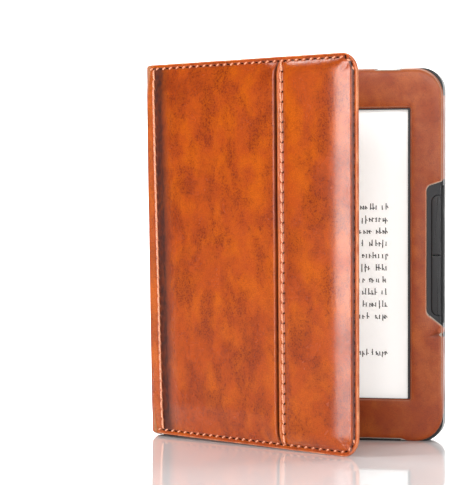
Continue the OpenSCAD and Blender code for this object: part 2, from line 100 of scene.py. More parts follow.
class Leaf:
    """A leaf of the folio, placed by u from its spine side, z up and out from its middle."""

    def __init__(self, corner, along, outward, width, height, spine_r, free_r, sag=False):
        self.sag = sag
        self.corner = Vector(corner)
        self.along = Vector(along)
        self.outward = Vector(outward)
        self.width = width
        self.height = height
        self.spine_r = spine_r
        self.free_r = free_r

    def shift(self, u, z):
        """How far a hanging leaf sags out of square at a place."""
        if not self.sag:
            return Vector((0, 0, 0))
        tilt = -LEAN(u) * (2 * z / self.height - 1)
        return self.along * tilt + UP * (1.45 * max(0, 1 - u / self.width))

    def point(self, u, out, z):
        place = self.corner + self.along * u + self.outward * out + UP * z
        return place + self.shift(u, z)

    def span(self, z):
        """The leaf's left and right ends at height z."""
        end = min(z, self.height - z)

        def cut(r):
            return r - math.sqrt(r * r - (r - end) ** 2) if end < r else 0
        return cut(self.spine_r), self.width - cut(self.free_r)

    def fit(self, u, z):
        """u moved in near the ends so that a row of points follows the rounded corners."""
        left, right = self.span(z)
        near, far = 6, self.width - 12
        if u < near:
            return left + u / near * (near - left)
        if u > far:
            return far + (u - far) / (self.width - far) * (right - far)
        return u

    def reach(self, u, z):
        """Distance to the free side and to the nearer end, both measured round the corner."""
        side = self.width - u
        end = min(z, self.height - z)
        r = self.free_r
        if side < r and end < r:
            inside = r - math.hypot(r - side, r - end)
            shift = min(side, end) - inside
            return max(side - shift, 0), max(end - shift, 0)
        return max(side, 0), max(end, 0)


# ---------------------------------------------------------------- curves and outlines

class Profile:
    """A smooth curve through points that never overshoots them."""

    def __init__(self, *points):
        self.at = [p[0] for p in points]
        self.value = [p[1] for p in points]
        count = len(points)
        rise = [
            (self.value[i + 1] - self.value[i]) / (self.at[i + 1] - self.at[i])
            for i in range(count - 1)
        ]
        self.slope = [rise[0]] + [0.0] * (count - 2) + [rise[-1]]
        for i in range(1, count - 1):
            if rise[i - 1] * rise[i] > 0:
                self.slope[i] = 2 * rise[i - 1] * rise[i] / (rise[i - 1] + rise[i])

    def __call__(self, t):
        t = min(max(t, self.at[0]), self.at[-1])
        i = min(max(bisect.bisect(self.at, t) - 1, 0), len(self.at) - 2)
        width = self.at[i + 1] - self.at[i]
        s = (t - self.at[i]) / width
        low, high = self.value[i], self.value[i + 1]
        return (
            low * (1 + 2 * s) * (1 - s) ** 2
            + high * s * s * (3 - 2 * s)
            + width * s * (1 - s) * (self.slope[i] * (1 - s) - self.slope[i + 1] * s)
        )


# How far the top of the hanging cover leans towards its spine, by u
LEAN = Profile((0, 1.8), (6, 3.1), (12, 2.9), (40, 2.0), (80, 0.95), (125, 0.3))


def swell(t, steep=2.4):
    """Rises steeply from 0 at t = 0 and levels out at 1, like padding held by a seam."""
    t = min(max(t, 0), 1)
    return 1 - (1 - t) ** steep


def bell(distance, width):
    """Falls from 1 at no distance to about a third at the width."""
    return math.exp(-(distance / width) ** 2)


def wave(x, z, scale, seed):
    """Soft uneven waves over a surface, from about -1 to 1."""
    return noise.noise(Vector((x * scale, z * scale, seed)))


def round_angles(count):
    """Even angles round a full turn."""
    return [2 * math.pi * k / count for k in range(count)]


def rolled(radius, front, steps):
    """A quarter roll from an edge to the front face, as (in from the edge, depth)."""
    turn = [math.pi / 2 * i / steps for i in range(steps + 1)]
    return [(radius * (1 - math.cos(a)), front + radius * (1 - math.sin(a))) for a in turn]


def graded(*stretches):
    """Grid lines through stretches of (start, end, step)."""
    lines = [stretches[0][0]]
    for start, end, step in stretches:
        count = max(1, round((end - start) / step))
        lines += [start + (end - start) * (i + 1) / count for i in range(count)]
    return lines


def filleted(points, closed=True, turn=12):
    """A flat outline from corners (x, z, radius), each rounded by an arc."""
    path = []
    count = len(points)
    for i, (x, z, r) in enumerate(points):
        here = Vector((x, z))
        if r == 0 or (not closed and i in (0, count - 1)):
            path.append(here)
            continue
        back = (Vector(points[i - 1][:2]) - here).normalized()
        ahead = (Vector(points[(i + 1) % count][:2]) - here).normalized()
        angle = math.acos(max(-1, min(1, back.dot(ahead))))
        reach = r / math.tan(angle / 2)
        centre = here + (back + ahead).normalized() * (r / math.sin(angle / 2))
        first = here + back * reach - centre
        last = here + ahead * reach - centre
        sweep = math.atan2(first.x * last.y - first.y * last.x, first.dot(last))
        steps = max(2, math.ceil(abs(math.degrees(sweep)) / turn))
        for k in range(steps + 1):
            a = sweep * k / steps
            spun = Matrix.Rotation(a, 2) @ first
            path.append(centre + spun)
    return path


def spaced(path, longest, closed=True):
    """The same path with long straight stretches divided."""
    result = []
    count = len(path)
    for i in range(count if closed else count - 1):
        a, b = path[i], path[(i + 1) % count]
        steps = max(1, math.ceil((b - a).length / longest))
        result += [a.lerp(b, k / steps) for k in range(steps)]
    return result if closed else result + [path[-1]]


def walked(path, pitch):
    """Even places along an open path, as (point, direction)."""
    lengths = [(b - a).length for a, b in zip(path, path[1:])]
    total = sum(lengths)
    count = round(total / pitch)
    places = []
    i, gone = 0, 0.0
    for k in range(count):
        target = (k + 0.5) * total / count
        while gone + lengths[i] < target:
            gone += lengths[i]
            i += 1
        way = (path[i + 1] - path[i]).normalized()
        places.append((path[i] + way * (target - gone), way))
    return places


def inward(path, closed=True):
    """The unit vector to the left of a path at each of its points."""
    count = len(path)
    result = []
    for i in range(count):
        before = path[i - 1] if closed or i else path[i]
        after = path[(i + 1) % count] if closed or i < count - 1 else path[i]
        way = (after - before).normalized()
        result.append(Vector((-way.y, way.x)))
    return result


def inset(path, distance):
    """A closed outline moved in by a distance."""
    return [p + n * distance for p, n in zip(path, inward(path))]


# ---------------------------------------------------------------- mesh building

class Shape:
    """Collects one mesh's points and faces in millimetres, then builds the object."""

    def __init__(self):
        self.points = []
        self.faces = []
        self.slots = []
        self.marks = {}

    def face(self, indices, slot=0):
        self.faces.append(tuple(indices))
        self.slots.append(slot)

    def rows(self, rows, around=False, **marks):
        """Joins rows of points with quads. marks are values for each point, by name."""
        base = len(self.points)
        wide = len(rows[0])
        for row in rows:
            self.points += row
        for name, values in marks.items():
            flat = [v for row in values for v in row]
            self.marks.setdefault(name, {}).update(
                (base + i, v) for i, v in enumerate(flat)
            )
        for i in range(len(rows) - 1):
            for j in range(wide if around else wide - 1):
                k = (j + 1) % wide
                a, b = base + i * wide, base + (i + 1) * wide
                self.face((a + j, a + k, b + k, b + j))
        return base

    def tube(self, rings):
        """Joins closed rings of points and closes both ends."""
        count = len(rings[0])
        base = self.rows(rings, around=True)
        for first in (base, base + (len(rings) - 1) * count):
            self.face(range(first, first + count))

    def build(self, name, materials, facing=None, smooth=True):
        """The finished object. An open sheet says which way it faces."""
        mesh = bpy.data.meshes.new(name)
        mesh.from_pydata([p * MM for p in self.points], [], self.faces)
        for material in materials:
            mesh.materials.append(material)
        mesh.polygons.foreach_set("material_index", self.slots)
        mesh.polygons.foreach_set("use_smooth", [smooth] * len(self.faces))
        for mark, values in self.marks.items():
            attribute = mesh.attributes.new(mark, "FLOAT", "POINT")
            for i, value in values.items():
                attribute.data[i].value = value
        whole = bmesh.new()
        whole.from_mesh(mesh)
        bmesh.ops.recalc_face_normals(whole, faces=whole.faces)
        whole.to_mesh(mesh)
        whole.free()
        if facing is not None:
            total = sum((p.normal * p.area for p in mesh.polygons), Vector())
            if total.dot(Vector(facing)) < 0:
                mesh.flip_normals()
        obj = bpy.data.objects.new(name, mesh)
        bpy.context.scene.collection.objects.link(obj)
        return obj


def thicken(obj, thickness):
    """Gives a sheet its thickness, in millimetres, behind its face."""
    solid = obj.modifiers.new("Thickness", "SOLIDIFY")
    solid.thickness = thickness * MM
    solid.offset = -1.0
    solid.use_even_offset = True


def soften(obj, width):
    """Rounds an object's hard edges by a small bevel, in millimetres."""
    bevel = obj.modifiers.new("Soft edges", "BEVEL")
    bevel.width = width * MM
    bevel.segments = 2
    bevel.limit_method = "ANGLE"
    bevel.angle_limit = math.radians(35)
    bevel.harden_normals = True


def placed(obj, body, slot, *nodes):
    """Makes a finished piece ride on its body and stand for its nodes. Its slot is not used."""
    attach(obj, body)
    if nodes:
        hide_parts(*nodes)
    return obj


def finish_node(name, material, edge=0.0):
    """Gives a kept node its material and, where it shows, softened edges."""
    obj = frame["nodes"][name]
    if not obj.material_slots:
        obj.data.materials.append(material)
    for slot in obj.material_slots:
        slot.material = material
    if edge:
        soften(obj, edge)


# ---------------------------------------------------------------- shader building

def srgb(red, green, blue):
    """A colour as scene-linear values, from its 0 to 255 screen values."""
    def linear(v):
        v /= 255
        return v / 12.92 if v <= 0.04045 else ((v + 0.055) / 1.055) ** 2.4
    return linear(red), linear(green), linear(blue)


def feed(node, inputs):
    """Sets or links a node's inputs, each by its name or its number."""
    for name, value in inputs.items():
        socket = node.inputs[name]
        if isinstance(value, bpy.types.NodeSocket):
            node.id_data.links.new(value, socket)
        elif socket.type == "RGBA" and len(value) == 3:
            socket.default_value = (*value, 1.0)
        else:
            socket.default_value = value
    return node


def add(tree, kind, inputs=None, **settings):
    """A new node with its settings, and its inputs set or linked."""
    node = tree.nodes.new(kind)
    for name, value in settings.items():
        setattr(node, name, value)
    return feed(node, inputs or {})


def math_node(tree, operation, a, b, clamp=False):
    node = add(tree, "ShaderNodeMath", {0: a, 1: b}, operation=operation, use_clamp=clamp)
    return node.outputs[0]


def mapped(tree, value, low, high, to_low=0.0, to_high=1.0):
    """value from the range low..high to the range to_low..to_high, smoothly."""
    node = add(tree, "ShaderNodeMapRange", {
        "Value": value, "From Min": low, "From Max": high, "To Min": to_low, "To Max": to_high,
    }, interpolation_type="SMOOTHSTEP")
    return node.outputs["Result"]


def mixed(tree, factor, a, b, blend="MIX"):
    node = add(tree, "ShaderNodeMix", {"Factor": factor}, data_type="RGBA", blend_type=blend)
    return feed(node, {6: a, 7: b}).outputs[2]


def noise_value(tree, vector, scale, detail=3.0, rough=0.5, distortion=0.0):
    return add(tree, "ShaderNodeTexNoise", {
        "Vector": vector, "Scale": scale, "Detail": detail, "Roughness": rough,
        "Distortion": distortion,
    }).outputs["Fac"]


def object_place(tree, stretch=(1, 1, 1)):
    """The place on the piece, stretched along its axes."""
    place = add(tree, "ShaderNodeTexCoord").outputs["Object"]
    if stretch == (1, 1, 1):
        return place
    return add(tree, "ShaderNodeMapping", {"Vector": place, "Scale": stretch}).outputs["Vector"]


def bumped(tree, height, strength, distance):
    """A normal bent by a height, over a distance in millimetres."""
    return add(tree, "ShaderNodeBump", {
        "Height": height, "Strength": strength, "Distance": distance * MM,
    }).outputs["Normal"]


def toned(colour, amount):
    """A colour made darker or lighter by an amount."""
    return tuple(min(1, c * amount) for c in colour)


# ---------------------------------------------------------------- shared shader groups

def wire_grain(tree, given):
    """Pebbled leather grain: its height and the pores between the pebbles."""
    place = object_place(tree)
    bend = add(tree, "ShaderNodeTexNoise", {"Vector": place, "Scale": 260.0, "Detail": 2.0})
    lean = add(tree, "ShaderNodeVectorMath", {0: bend.outputs["Color"], "Scale": 0.0016},
               operation="SCALE")
    bent = add(tree, "ShaderNodeVectorMath", {0: place, 1: lean.outputs[0]}, operation="ADD")
    cells = add(tree, "ShaderNodeTexVoronoi",
                {"Vector": bent.outputs[0], "Scale": given["Pebble scale"]},
                feature="DISTANCE_TO_EDGE")
    pebble = mapped(tree, cells.outputs["Distance"], 0.0, 0.28)
    fine = noise_value(tree, place, 3200.0, 2.0)
    long_fold = noise_value(tree, object_place(tree, (1.0, 1.0, 0.35)), 190.0, 4.0, 0.62, 0.8)
    fold = math_node(tree, "MULTIPLY", mapped(tree, long_fold, 0.38, 0.62),
                     given["Crease amount"])
    rough = math_node(tree, "MULTIPLY", fine, 0.35)
    return {
        "Height": math_node(tree, "ADD", math_node(tree, "ADD", pebble, rough), fold),
        "Pores": math_node(tree, "SUBTRACT", 1.0, pebble),
    }


def wire_dye(tree, given):
    """Rubbed-in dye: clouds of three tones and dark specks."""
    place = object_place(tree)
    scale = given["Cloud scale"]
    cloud = noise_value(tree, place, scale, 3.0, 0.55, 0.25)
    other = noise_value(tree, object_place(tree, (1.25, 1.25, 0.85)),
                        math_node(tree, "MULTIPLY", scale, 1.35), 3.0, 0.55, 0.3)
    patch = noise_value(tree, place, math_node(tree, "MULTIPLY", scale, 6.5), 4.0, 0.68)
    stipple = noise_value(tree, place, math_node(tree, "MULTIPLY", scale, 22.0), 2.0, 0.6)

    def patchy(clouds, amount, low, high):
        """Clouds whose borders are broken up by the patches."""
        broken = math_node(tree, "MULTIPLY", patch, amount)
        return mapped(tree, math_node(tree, "ADD", clouds, broken), low, high)

    lighter = patchy(cloud, 0.32, 0.54, 0.82)
    shade = patchy(other, 0.45, 0.58, 0.92)
    dots = math_node(tree, "MULTIPLY", mapped(tree, stipple, 0.5, 0.62),
                     math_node(tree, "ADD", math_node(tree, "MULTIPLY", shade, 0.75), 0.2))
    dots = math_node(tree, "MULTIPLY", dots, given["Speck amount"], clamp=True)
    colour = mixed(tree, lighter, given["Middle"], given["Light"])
    colour = mixed(tree, math_node(tree, "MULTIPLY", shade, 0.5), colour, given["Dark"])
    return {"Color": mixed(tree, dots, colour, given["Dark"]), "Tone": cloud}


def wire_wear(tree, given):
    """Where leather is darkened in its creases and grooves by painted shade, and lightened on its
    edges and ridges partly by rubbing wear and partly by painted highlight.
    """
    # The first mark is painted shade; the second is partly wear and partly painted highlight
    press = add(tree, "ShaderNodeAttribute", attribute_name="pressed").outputs["Fac"]
    rub = add(tree, "ShaderNodeAttribute", attribute_name="rubbed").outputs["Fac"]
    breakup = mapped(tree, noise_value(tree, object_place(tree), 420.0, 3.0), 0.3, 0.7, 0.75)
    press = math_node(tree, "MULTIPLY", press, breakup, clamp=True)
    rub = math_node(tree, "MULTIPLY", rub, breakup, clamp=True)
    colour = mixed(tree, press, given["Color"], given["Pressed colour"])
    return {"Color": mixed(tree, rub, colour, given["Rubbed colour"]), "Pressed": press}


def wire_moulding(tree, given):
    """Fine spark-eroded texture of moulded plastic, with faint handling marks."""
    place = object_place(tree)
    broad = noise_value(tree, place, 55.0, 4.0, 0.6)
    tone = math_node(tree, "MULTIPLY", math_node(tree, "SUBTRACT", broad, 0.5),
                     given["Tone amount"])
    return {
        "Height": noise_value(tree, place, given["Grain scale"], 2.0),
        "Tone": math_node(tree, "ADD", tone, 0.5),
        "Smudge": mapped(tree, broad, 0.4, 0.7),
    }


def wire_nap(tree, given):
    """Short brushed nap of suede."""
    nap = noise_value(tree, object_place(tree), given["Nap scale"], 4.0, 0.7)
    stroke = noise_value(tree, object_place(tree, (1.0, 1.0, 0.3)), 70.0, 3.0, 0.55, 0.7)
    colour = mixed(tree, mapped(tree, stroke, 0.35, 0.65), given["Color"],
                   given["Brushed colour"])
    shade = mapped(tree, nap, 0.3, 0.7, 0.72, 1.08)
    tint = add(tree, "ShaderNodeCombineColor", {"Red": shade, "Green": shade, "Blue": shade})
    return {"Color": mixed(tree, 1.0, colour, tint.outputs["Color"], "MULTIPLY"), "Height": nap}


FLOAT, COLOUR = "NodeSocketFloat", "NodeSocketColor"
# Each group's inputs with their defaults, its outputs, and what wires them together
GROUPS = {
    "Leather grain": (
        [("Pebble scale", FLOAT, 900.0), ("Crease amount", FLOAT, 0.35)],
        [("Height", FLOAT), ("Pores", FLOAT)], wire_grain),
    "Leather dye": (
        [("Dark", COLOUR, (0.2, 0.05, 0.01, 1)), ("Middle", COLOUR, (0.5, 0.12, 0.02, 1)),
         ("Light", COLOUR, (0.7, 0.25, 0.03, 1)), ("Cloud scale", FLOAT, 60.0),
         ("Speck amount", FLOAT, 0.5)],
        [("Color", COLOUR), ("Tone", FLOAT)], wire_dye),
    # Painted shade for creases and grooves, and a partly worn, partly painted highlight for edges
    "Pressed and rubbed": (
        [("Color", COLOUR, (0.5, 0.5, 0.5, 1)), ("Pressed colour", COLOUR, (0.05, 0.01, 0.0, 1)),
         ("Rubbed colour", COLOUR, (0.8, 0.5, 0.35, 1))],
        [("Color", COLOUR), ("Pressed", FLOAT)], wire_wear),
    "Moulded surface": (
        [("Grain scale", FLOAT, 2600.0), ("Tone amount", FLOAT, 0.12)],
        [("Height", FLOAT), ("Tone", FLOAT), ("Smudge", FLOAT)], wire_moulding),
    "Brushed nap": (
        [("Nap scale", FLOAT, 1500.0), ("Color", COLOUR, (0.3, 0.15, 0.08, 1)),
         ("Brushed colour", COLOUR, (0.4, 0.22, 0.12, 1))],
        [("Color", COLOUR), ("Height", FLOAT)], wire_nap),
}


def group(name):
    """A shader group, made the first time it is asked for."""
    if name in bpy.data.node_groups:
        return bpy.data.node_groups[name]
    inputs, outputs, wire = GROUPS[name]
    tree = bpy.data.node_groups.new(name, "ShaderNodeTree")
    for label, kind, default in inputs:
        socket = tree.interface.new_socket(label, in_out="INPUT", socket_type=kind)
        socket.default_value = default
    for label, kind in outputs:
        tree.interface.new_socket(label, in_out="OUTPUT", socket_type=kind)
    given = tree.nodes.new("NodeGroupInput").outputs
    feed(tree.nodes.new("NodeGroupOutput"), wire(tree, given))
    return tree


def use_group(tree, name, **inputs):
    """A shader group placed in a material, with its own values."""
    node = add(tree, "ShaderNodeGroup", node_tree=group(name))
    feed(node, {label.replace("_", " "): value for label, value in inputs.items()})
    return node.outputs


# ---------------------------------------------------------------- materials

def new_material(name):
    material = bpy.data.materials.new(name)
    material.use_nodes = True
    return material, material.node_tree, material.node_tree.nodes["Principled BSDF"]


def leather(name, dark, middle, light, pressed, rubbed, clouds, specks, pebbles, depth,
            rough=(0.42, 0.62), shine=0.3):
    """Waxed leather with dye worked in by rubbing, grain whose pores are darkened toward the crease
    colour, creases darkened by painted shade, and edges lightened partly by wear and partly by
    painted highlight.
    """
    material, tree, shader = new_material(name)
    dye = use_group(tree, "Leather dye", Dark=dark, Middle=middle, Light=light,
                    Cloud_scale=clouds, Speck_amount=specks)
    # The crease colour is painted shade; the edge colour is partly wear and partly painted highlight
    worn = use_group(tree, "Pressed and rubbed", Color=dye["Color"], Pressed_colour=pressed,
                     Rubbed_colour=rubbed)
    grain = use_group(tree, "Leather grain", Pebble_scale=pebbles, Crease_amount=0.1)
    pores = mapped(tree, grain["Pores"], 0.35, 1.0, 0.0, 0.28)
    gloss = mapped(tree, dye["Tone"], 0.3, 0.7, rough[1], rough[0])
    dull = math_node(tree, "MULTIPLY", worn["Pressed"], 0.2)
    feed(shader, {
        "Base Color": mixed(tree, pores, worn["Color"], pressed),
        "Roughness": math_node(tree, "ADD", gloss, dull, clamp=True),
        "Specular IOR Level": shine,
        "Normal": bumped(tree, grain["Height"], 0.5, depth),
    })
    return material


def plastic(name, colour, rough=0.42, grain=2600.0, depth=0.02, shine=0.35):
    """Moulded plastic with its fine texture and faint handling marks."""
    material, tree, shader = new_material(name)
    made = use_group(tree, "Moulded surface", Grain_scale=grain, Tone_amount=0.5)
    feed(shader, {
        "Base Color": mixed(tree, made["Tone"], toned(colour, 0.72), toned(colour, 1.25)),
        "Roughness": mapped(tree, made["Smudge"], 0.0, 1.0, rough + 0.06, rough - 0.05),
        "Specular IOR Level": shine,
        "Normal": bumped(tree, made["Height"], 0.35, depth),
    })
    return material


def metal(name, colour, rough=0.3, stretch=(1, 1, 14)):
    """Rolled or plated metal with its fine drawn lines."""
    material, tree, shader = new_material(name)
    lines = noise_value(tree, object_place(tree, stretch), 700.0, 3.0, 0.6)
    spots = noise_value(tree, object_place(tree), 120.0, 4.0)
    feed(shader, {
        "Base Color": mixed(tree, mapped(tree, spots, 0.35, 0.7), colour, toned(colour, 0.7)),
        "Roughness": mapped(tree, lines, 0.3, 0.7, rough - 0.08, rough + 0.12),
        "Metallic": 1.0,
        "Normal": bumped(tree, lines, 0.2, 0.01),
    })
    return material


def suede(name, colour):
    """Suede with a brushed nap."""
    material, tree, shader = new_material(name)
    made = use_group(tree, "Brushed nap", Nap_scale=1500.0, Color=colour,
                     Brushed_colour=toned(colour, 1.3))
    feed(shader, {
        "Base Color": made["Color"],
        "Normal": bumped(tree, made["Height"], 0.55, 0.08),
        "Roughness": 0.92,
        "Sheen Weight": 0.35,
        "Sheen Roughness": 0.4,
    })
    return material


def thread(name, colour, shade):
    """Waxed thread whose plies wind round it."""
    material, tree, shader = new_material(name)
    wave = add(tree, "ShaderNodeTexWave", {
        "Vector": object_place(tree), "Scale": 620.0, "Distortion": 1.5, "Detail": 1.0,
    }, bands_direction="DIAGONAL")
    fuzz = noise_value(tree, object_place(tree), 2200.0, 2.0)
    ply = mapped(tree, wave.outputs["Fac"], 0.15, 0.8)
    fluffy = math_node(tree, "MULTIPLY", ply, mapped(tree, fuzz, 0.2, 0.7, 0.6))
    feed(shader, {
        "Base Color": mixed(tree, fluffy, shade, colour),
        "Roughness": 0.6,
        "Normal": bumped(tree, ply, 0.6, 0.12),
    })
    return material


def card(name, colour, fibre):
    """Pressed board with short fibres."""
    material, tree, shader = new_material(name)
    long_fibre = noise_value(tree, object_place(tree, (1.0, 1.0, 0.2)), 900.0, 4.0, 0.7)
    specks = mapped(tree, noise_value(tree, object_place(tree), 600.0, 2.0), 0.6, 0.75)
    body = mixed(tree, mapped(tree, long_fibre, 0.3, 0.7), colour, fibre)
    feed(shader, {
        "Base Color": mixed(tree, specks, body, toned(colour, 0.5)),
        "Roughness": 0.9,
        "Normal": bumped(tree, long_fibre, 0.4, 0.05),
    })
    return material


def circuit(name, mask, track):
    """Circuit board: solder mask over fine tracks, with bright pads."""
    material, tree, shader = new_material(name)
    brick = add(tree, "ShaderNodeTexBrick", {
        "Vector": object_place(tree), "Scale": 300.0, "Mortar Size": 0.03,
    })
    tracks = noise_value(tree, object_place(tree), 480.0, 1.0)
    lines = mapped(tree, math_node(tree, "PINGPONG", tracks, 0.06), 0.02, 0.04, 0.0, 0.6)
    pads = add(tree, "ShaderNodeTexVoronoi", {"Vector": object_place(tree), "Scale": 420.0})
    pad = math_node(tree, "LESS_THAN", pads.outputs["Distance"], 0.16)
    body = mixed(tree, math_node(tree, "MULTIPLY", brick.outputs["Fac"], 0.25),
                 mixed(tree, lines, mask, track), toned(mask, 0.6))
    feed(shader, {
        "Base Color": mixed(tree, pad, body, (0.75, 0.6, 0.3)),
        "Roughness": mapped(tree, pad, 0.0, 1.0, 0.45, 0.25),
        "Normal": bumped(tree, lines, 0.3, 0.03),
    })
    return material


def foam(name, colour):
    """Open foam with round cells."""
    material, tree, shader = new_material(name)
    cells = add(tree, "ShaderNodeTexVoronoi", {"Vector": object_place(tree), "Scale": 1400.0})
    pit = mapped(tree, cells.outputs["Distance"], 0.0, 0.6)
    # Darker toward each cell's middle, in its pit: painted shade
    feed(shader, {
        "Base Color": mixed(tree, pit, toned(colour, 0.5), colour),
        "Roughness": 0.95,
        "Normal": bumped(tree, pit, 0.7, 0.2),
    })
    return material


def paper(name, colour):
    """Electronic paper: an even white of fine microcapsules that glows a little as painted light."""
    material, tree, shader = new_material(name)
    capsules = noise_value(tree, object_place(tree), 5200.0, 2.0)
    broad = noise_value(tree, object_place(tree), 22.0, 3.0)
    tone = math_node(tree, "ADD", math_node(tree, "MULTIPLY", capsules, 0.6),
                     math_node(tree, "MULTIPLY", broad, 0.4))
    body = mixed(tree, mapped(tree, tone, 0.3, 0.7), toned(colour, 0.965), colour)
    feed(shader, {
        "Base Color": body,
        # Glows though it is no lamp: painted light that keeps the page white in the cover's shade
        "Emission Color": body,
        "Emission Strength": 0.24,
        "Roughness": 0.7,
        "Normal": bumped(tree, capsules, 0.1, 0.01),
    })
    return material


def clear_film(name):
    """The clear matt film over the page."""
    material, tree, shader = new_material(name)
    fine = noise_value(tree, object_place(tree), 4200.0, 1.0)
    feed(shader, {
        "Base Color": (0.95, 0.96, 0.97),
        "Roughness": mapped(tree, fine, 0.3, 0.7, 0.38, 0.5),
        "Alpha": 0.05,
        "Normal": bumped(tree, fine, 0.1, 0.01),
    })
    return material


def ink(name):
    """Dark grey electronic ink."""
    material, tree, shader = new_material(name)
    fine = mapped(tree, noise_value(tree, object_place(tree), 3000.0, 2.0), 0.3, 0.7)
    feed(shader, {
        "Base Color": mixed(tree, fine, (0.012, 0.012, 0.014), (0.03, 0.03, 0.032)),
        "Roughness": 0.75,
    })
    return material


# ---------------------------------------------------------------- settings

def length_setting(name, description, millimetres):
    return FloatProperty(name=name, description=description, default=millimetres * MM,
                         unit="LENGTH", precision=5)


def colour_setting(name, description, colour):
    return FloatVectorProperty(name=name, description=description, default=colour,
                               subtype="COLOR", size=3, min=0.0, max=1.0)


def power_setting(name, description, watts):
    return FloatProperty(name=name, description=description, default=watts, min=0.0,
                         unit="POWER")


class FolioCoverSettings(bpy.types.PropertyGroup):
    """Sizes and colours of the cover and the spine"""
    width: length_setting("Width", "Cover from its spine side to its free side", 123.6)
    spine_radius: length_setting("Spine corners", "Radius of the two corners by the spine", 2.5)
    free_radius: length_setting("Free corners", "Radius of the two free corners", 8.5)
    stitch_pitch: length_setting("Stitch pitch", "Distance between two stitches", 4.1)
    stitch_inset: length_setting("Stitch inset", "Stitches from the cover's edge", 1.9)
    hinge_line: length_setting("Hinge stitches", "Row of stitches from the spine side", 6.0)
    seam_line: length_setting("Seam stitches", "Seam's stitches from the spine side", 82.7)
    padding: length_setting("Padding", "How far the padding lifts the leather", 2.1)
    dark: colour_setting("Dark dye", "Darkest clouds of the leather", srgb(114, 34, 0))
    middle: colour_setting("Dye", "Main colour of the leather", srgb(170, 67, 0))
    light: colour_setting("Light dye", "Lightest clouds of the leather", srgb(185, 83, 0))
    # Colour of the painted shade in the creases and grooves
    crease_shade: colour_setting("Shade in creases", "Leather deep in the creases", srgb(46, 5, 0))
    # Colour of the edges' partly worn, partly painted highlight
    rubbed: colour_setting("Edge highlight and wear", "Leather where it is rubbed", srgb(206, 124, 76))
    stitching: colour_setting("Thread", "Waxed thread", srgb(242, 176, 142))
    lining: colour_setting("Lining", "Suede inside the cover", srgb(150, 96, 62))


class FolioHolderSettings(bpy.types.PropertyGroup):
    """Sizes and colours of the holder"""
    corner_radius: length_setting("Frame corners", "Radius of the frame's corners", 12.0)
    window_radius: length_setting("Window corners", "Radius of the window's corners", 1.0)
    roll: length_setting("Rolled edge", "Radius of the leather over the frame's edge", 2.0)
    dark: colour_setting("Dark dye", "Darkest clouds of the frame", srgb(132, 46, 4))
    middle: colour_setting("Dye", "Main colour of the frame", srgb(152, 62, 8))
    light: colour_setting("Light dye", "Lightest clouds of the frame", srgb(168, 80, 22))
    # Colour of the rolled edges' partly worn, partly painted highlight
    rubbed: colour_setting("Edge highlight and wear", "Leather where it is rubbed", srgb(216, 160, 132))
    shell: colour_setting("Tray", "Moulded tray", srgb(12, 12, 13))


class FolioReaderSettings(bpy.types.PropertyGroup):
    """Sizes and colours of the reader"""
    line_pitch: length_setting("Line pitch", "Distance between two lines on the page", 5.2)
    mark_height: length_setting("Mark height", "Height of the small marks on the page", 1.7)
    margin: length_setting("Right margin", "Right end of the lines from the middle", 35.9)
    case: colour_setting("Case", "Moulded case", srgb(34, 35, 38))
    keys: colour_setting("Keys", "Page keys and power button", srgb(32, 32, 34))
    page: colour_setting("Page", "Electronic paper", srgb(248, 248, 246))


class FolioStageSettings(bpy.types.PropertyGroup):
    """Floor, lights and camera"""
    floor: colour_setting("Floor", "Floor and backdrop", (0.9, 0.9, 0.9))
    key_power: power_setting("Key light", "Power of the main softbox", 12.5)
    side_power: power_setting("Side light", "Power of the softbox at the right", 2.0)
    front_power: power_setting("Front light", "Power of the front softbox", 25.5)
    backdrop_power: power_setting("Backdrop light", "Power of the backdrop's light", 66.0)
    sky: FloatProperty(name="Sky", description="Strength of the even white sky", default=0.12,
                       min=0.0)
    focal_length: FloatProperty(name="Focal length", description="Focal length of the lens",
                                default=154.97, min=20.0, unit="CAMERA")
    camera_turn: FloatProperty(name="Camera turn", description="How far the camera looks left",
                               default=math.radians(12.613), unit="ROTATION")
    camera_dip: FloatProperty(name="Camera dip", description="How far the camera looks down",
                              default=math.radians(0.448), unit="ROTATION")


def cover_leaf(settings):
    """The cover, as it stands in the frame."""
    along = turned((1, 0, 0), COVER_OPEN)
    return Leaf(
        FRONT_FOLD - along * FOLD_OVERHANG, along, turned((0, -1, 0), COVER_OPEN),
        settings.width / MM, COVER_H, settings.spine_radius / MM, settings.free_radius / MM,
        sag=True,
    )


def back_leaf():
    """The holder's back panel, from its fold side to its right side."""
    middle = corner_mm("back_board", False).y
    return Leaf((-HOLDER_HALF, middle, 0), (1, 0, 0), (0, 1, 0), 2 * HOLDER_HALF, HOLDER_H,
                0.5, 9)


def shared(name, make, *values, **settings):
    """A material that several pieces share, made the first time it is asked for."""
    return bpy.data.materials.get(name) or make(name, *values, **settings)


def cover_leather_material():
    s = bpy.context.scene.folio_cover
    return shared("Cover leather", leather, s.dark, s.middle, s.light, s.crease_shade, s.rubbed,
                  clouds=62.0, specks=1.0, pebbles=1500.0, depth=0.02, rough=(0.22, 0.28),
                  shine=0.5)


def frame_leather_material():
    s = bpy.context.scene.folio_holder
    # srgb(60, 22, 12) is the painted shade in the pleat's fold
    return shared("Frame leather", leather, s.dark, s.middle, s.light, srgb(60, 22, 12),
                  s.rubbed, clouds=110.0, specks=0.6, pebbles=1700.0, depth=0.02,
                  rough=(0.34, 0.42))


def edge_paint_material():
    return shared("Edge paint", leather, srgb(150, 66, 32), srgb(196, 100, 56),
                  srgb(226, 146, 100), srgb(80, 30, 14), srgb(240, 190, 150), clouds=160.0,
                  specks=0.2, pebbles=2600.0, depth=0.05)


def suede_material():
    return shared("Suede lining", suede, bpy.context.scene.folio_cover.lining)


def thread_material():
    stitching = bpy.context.scene.folio_cover.stitching
    return shared("Waxed thread", thread, stitching, srgb(206, 126, 88))


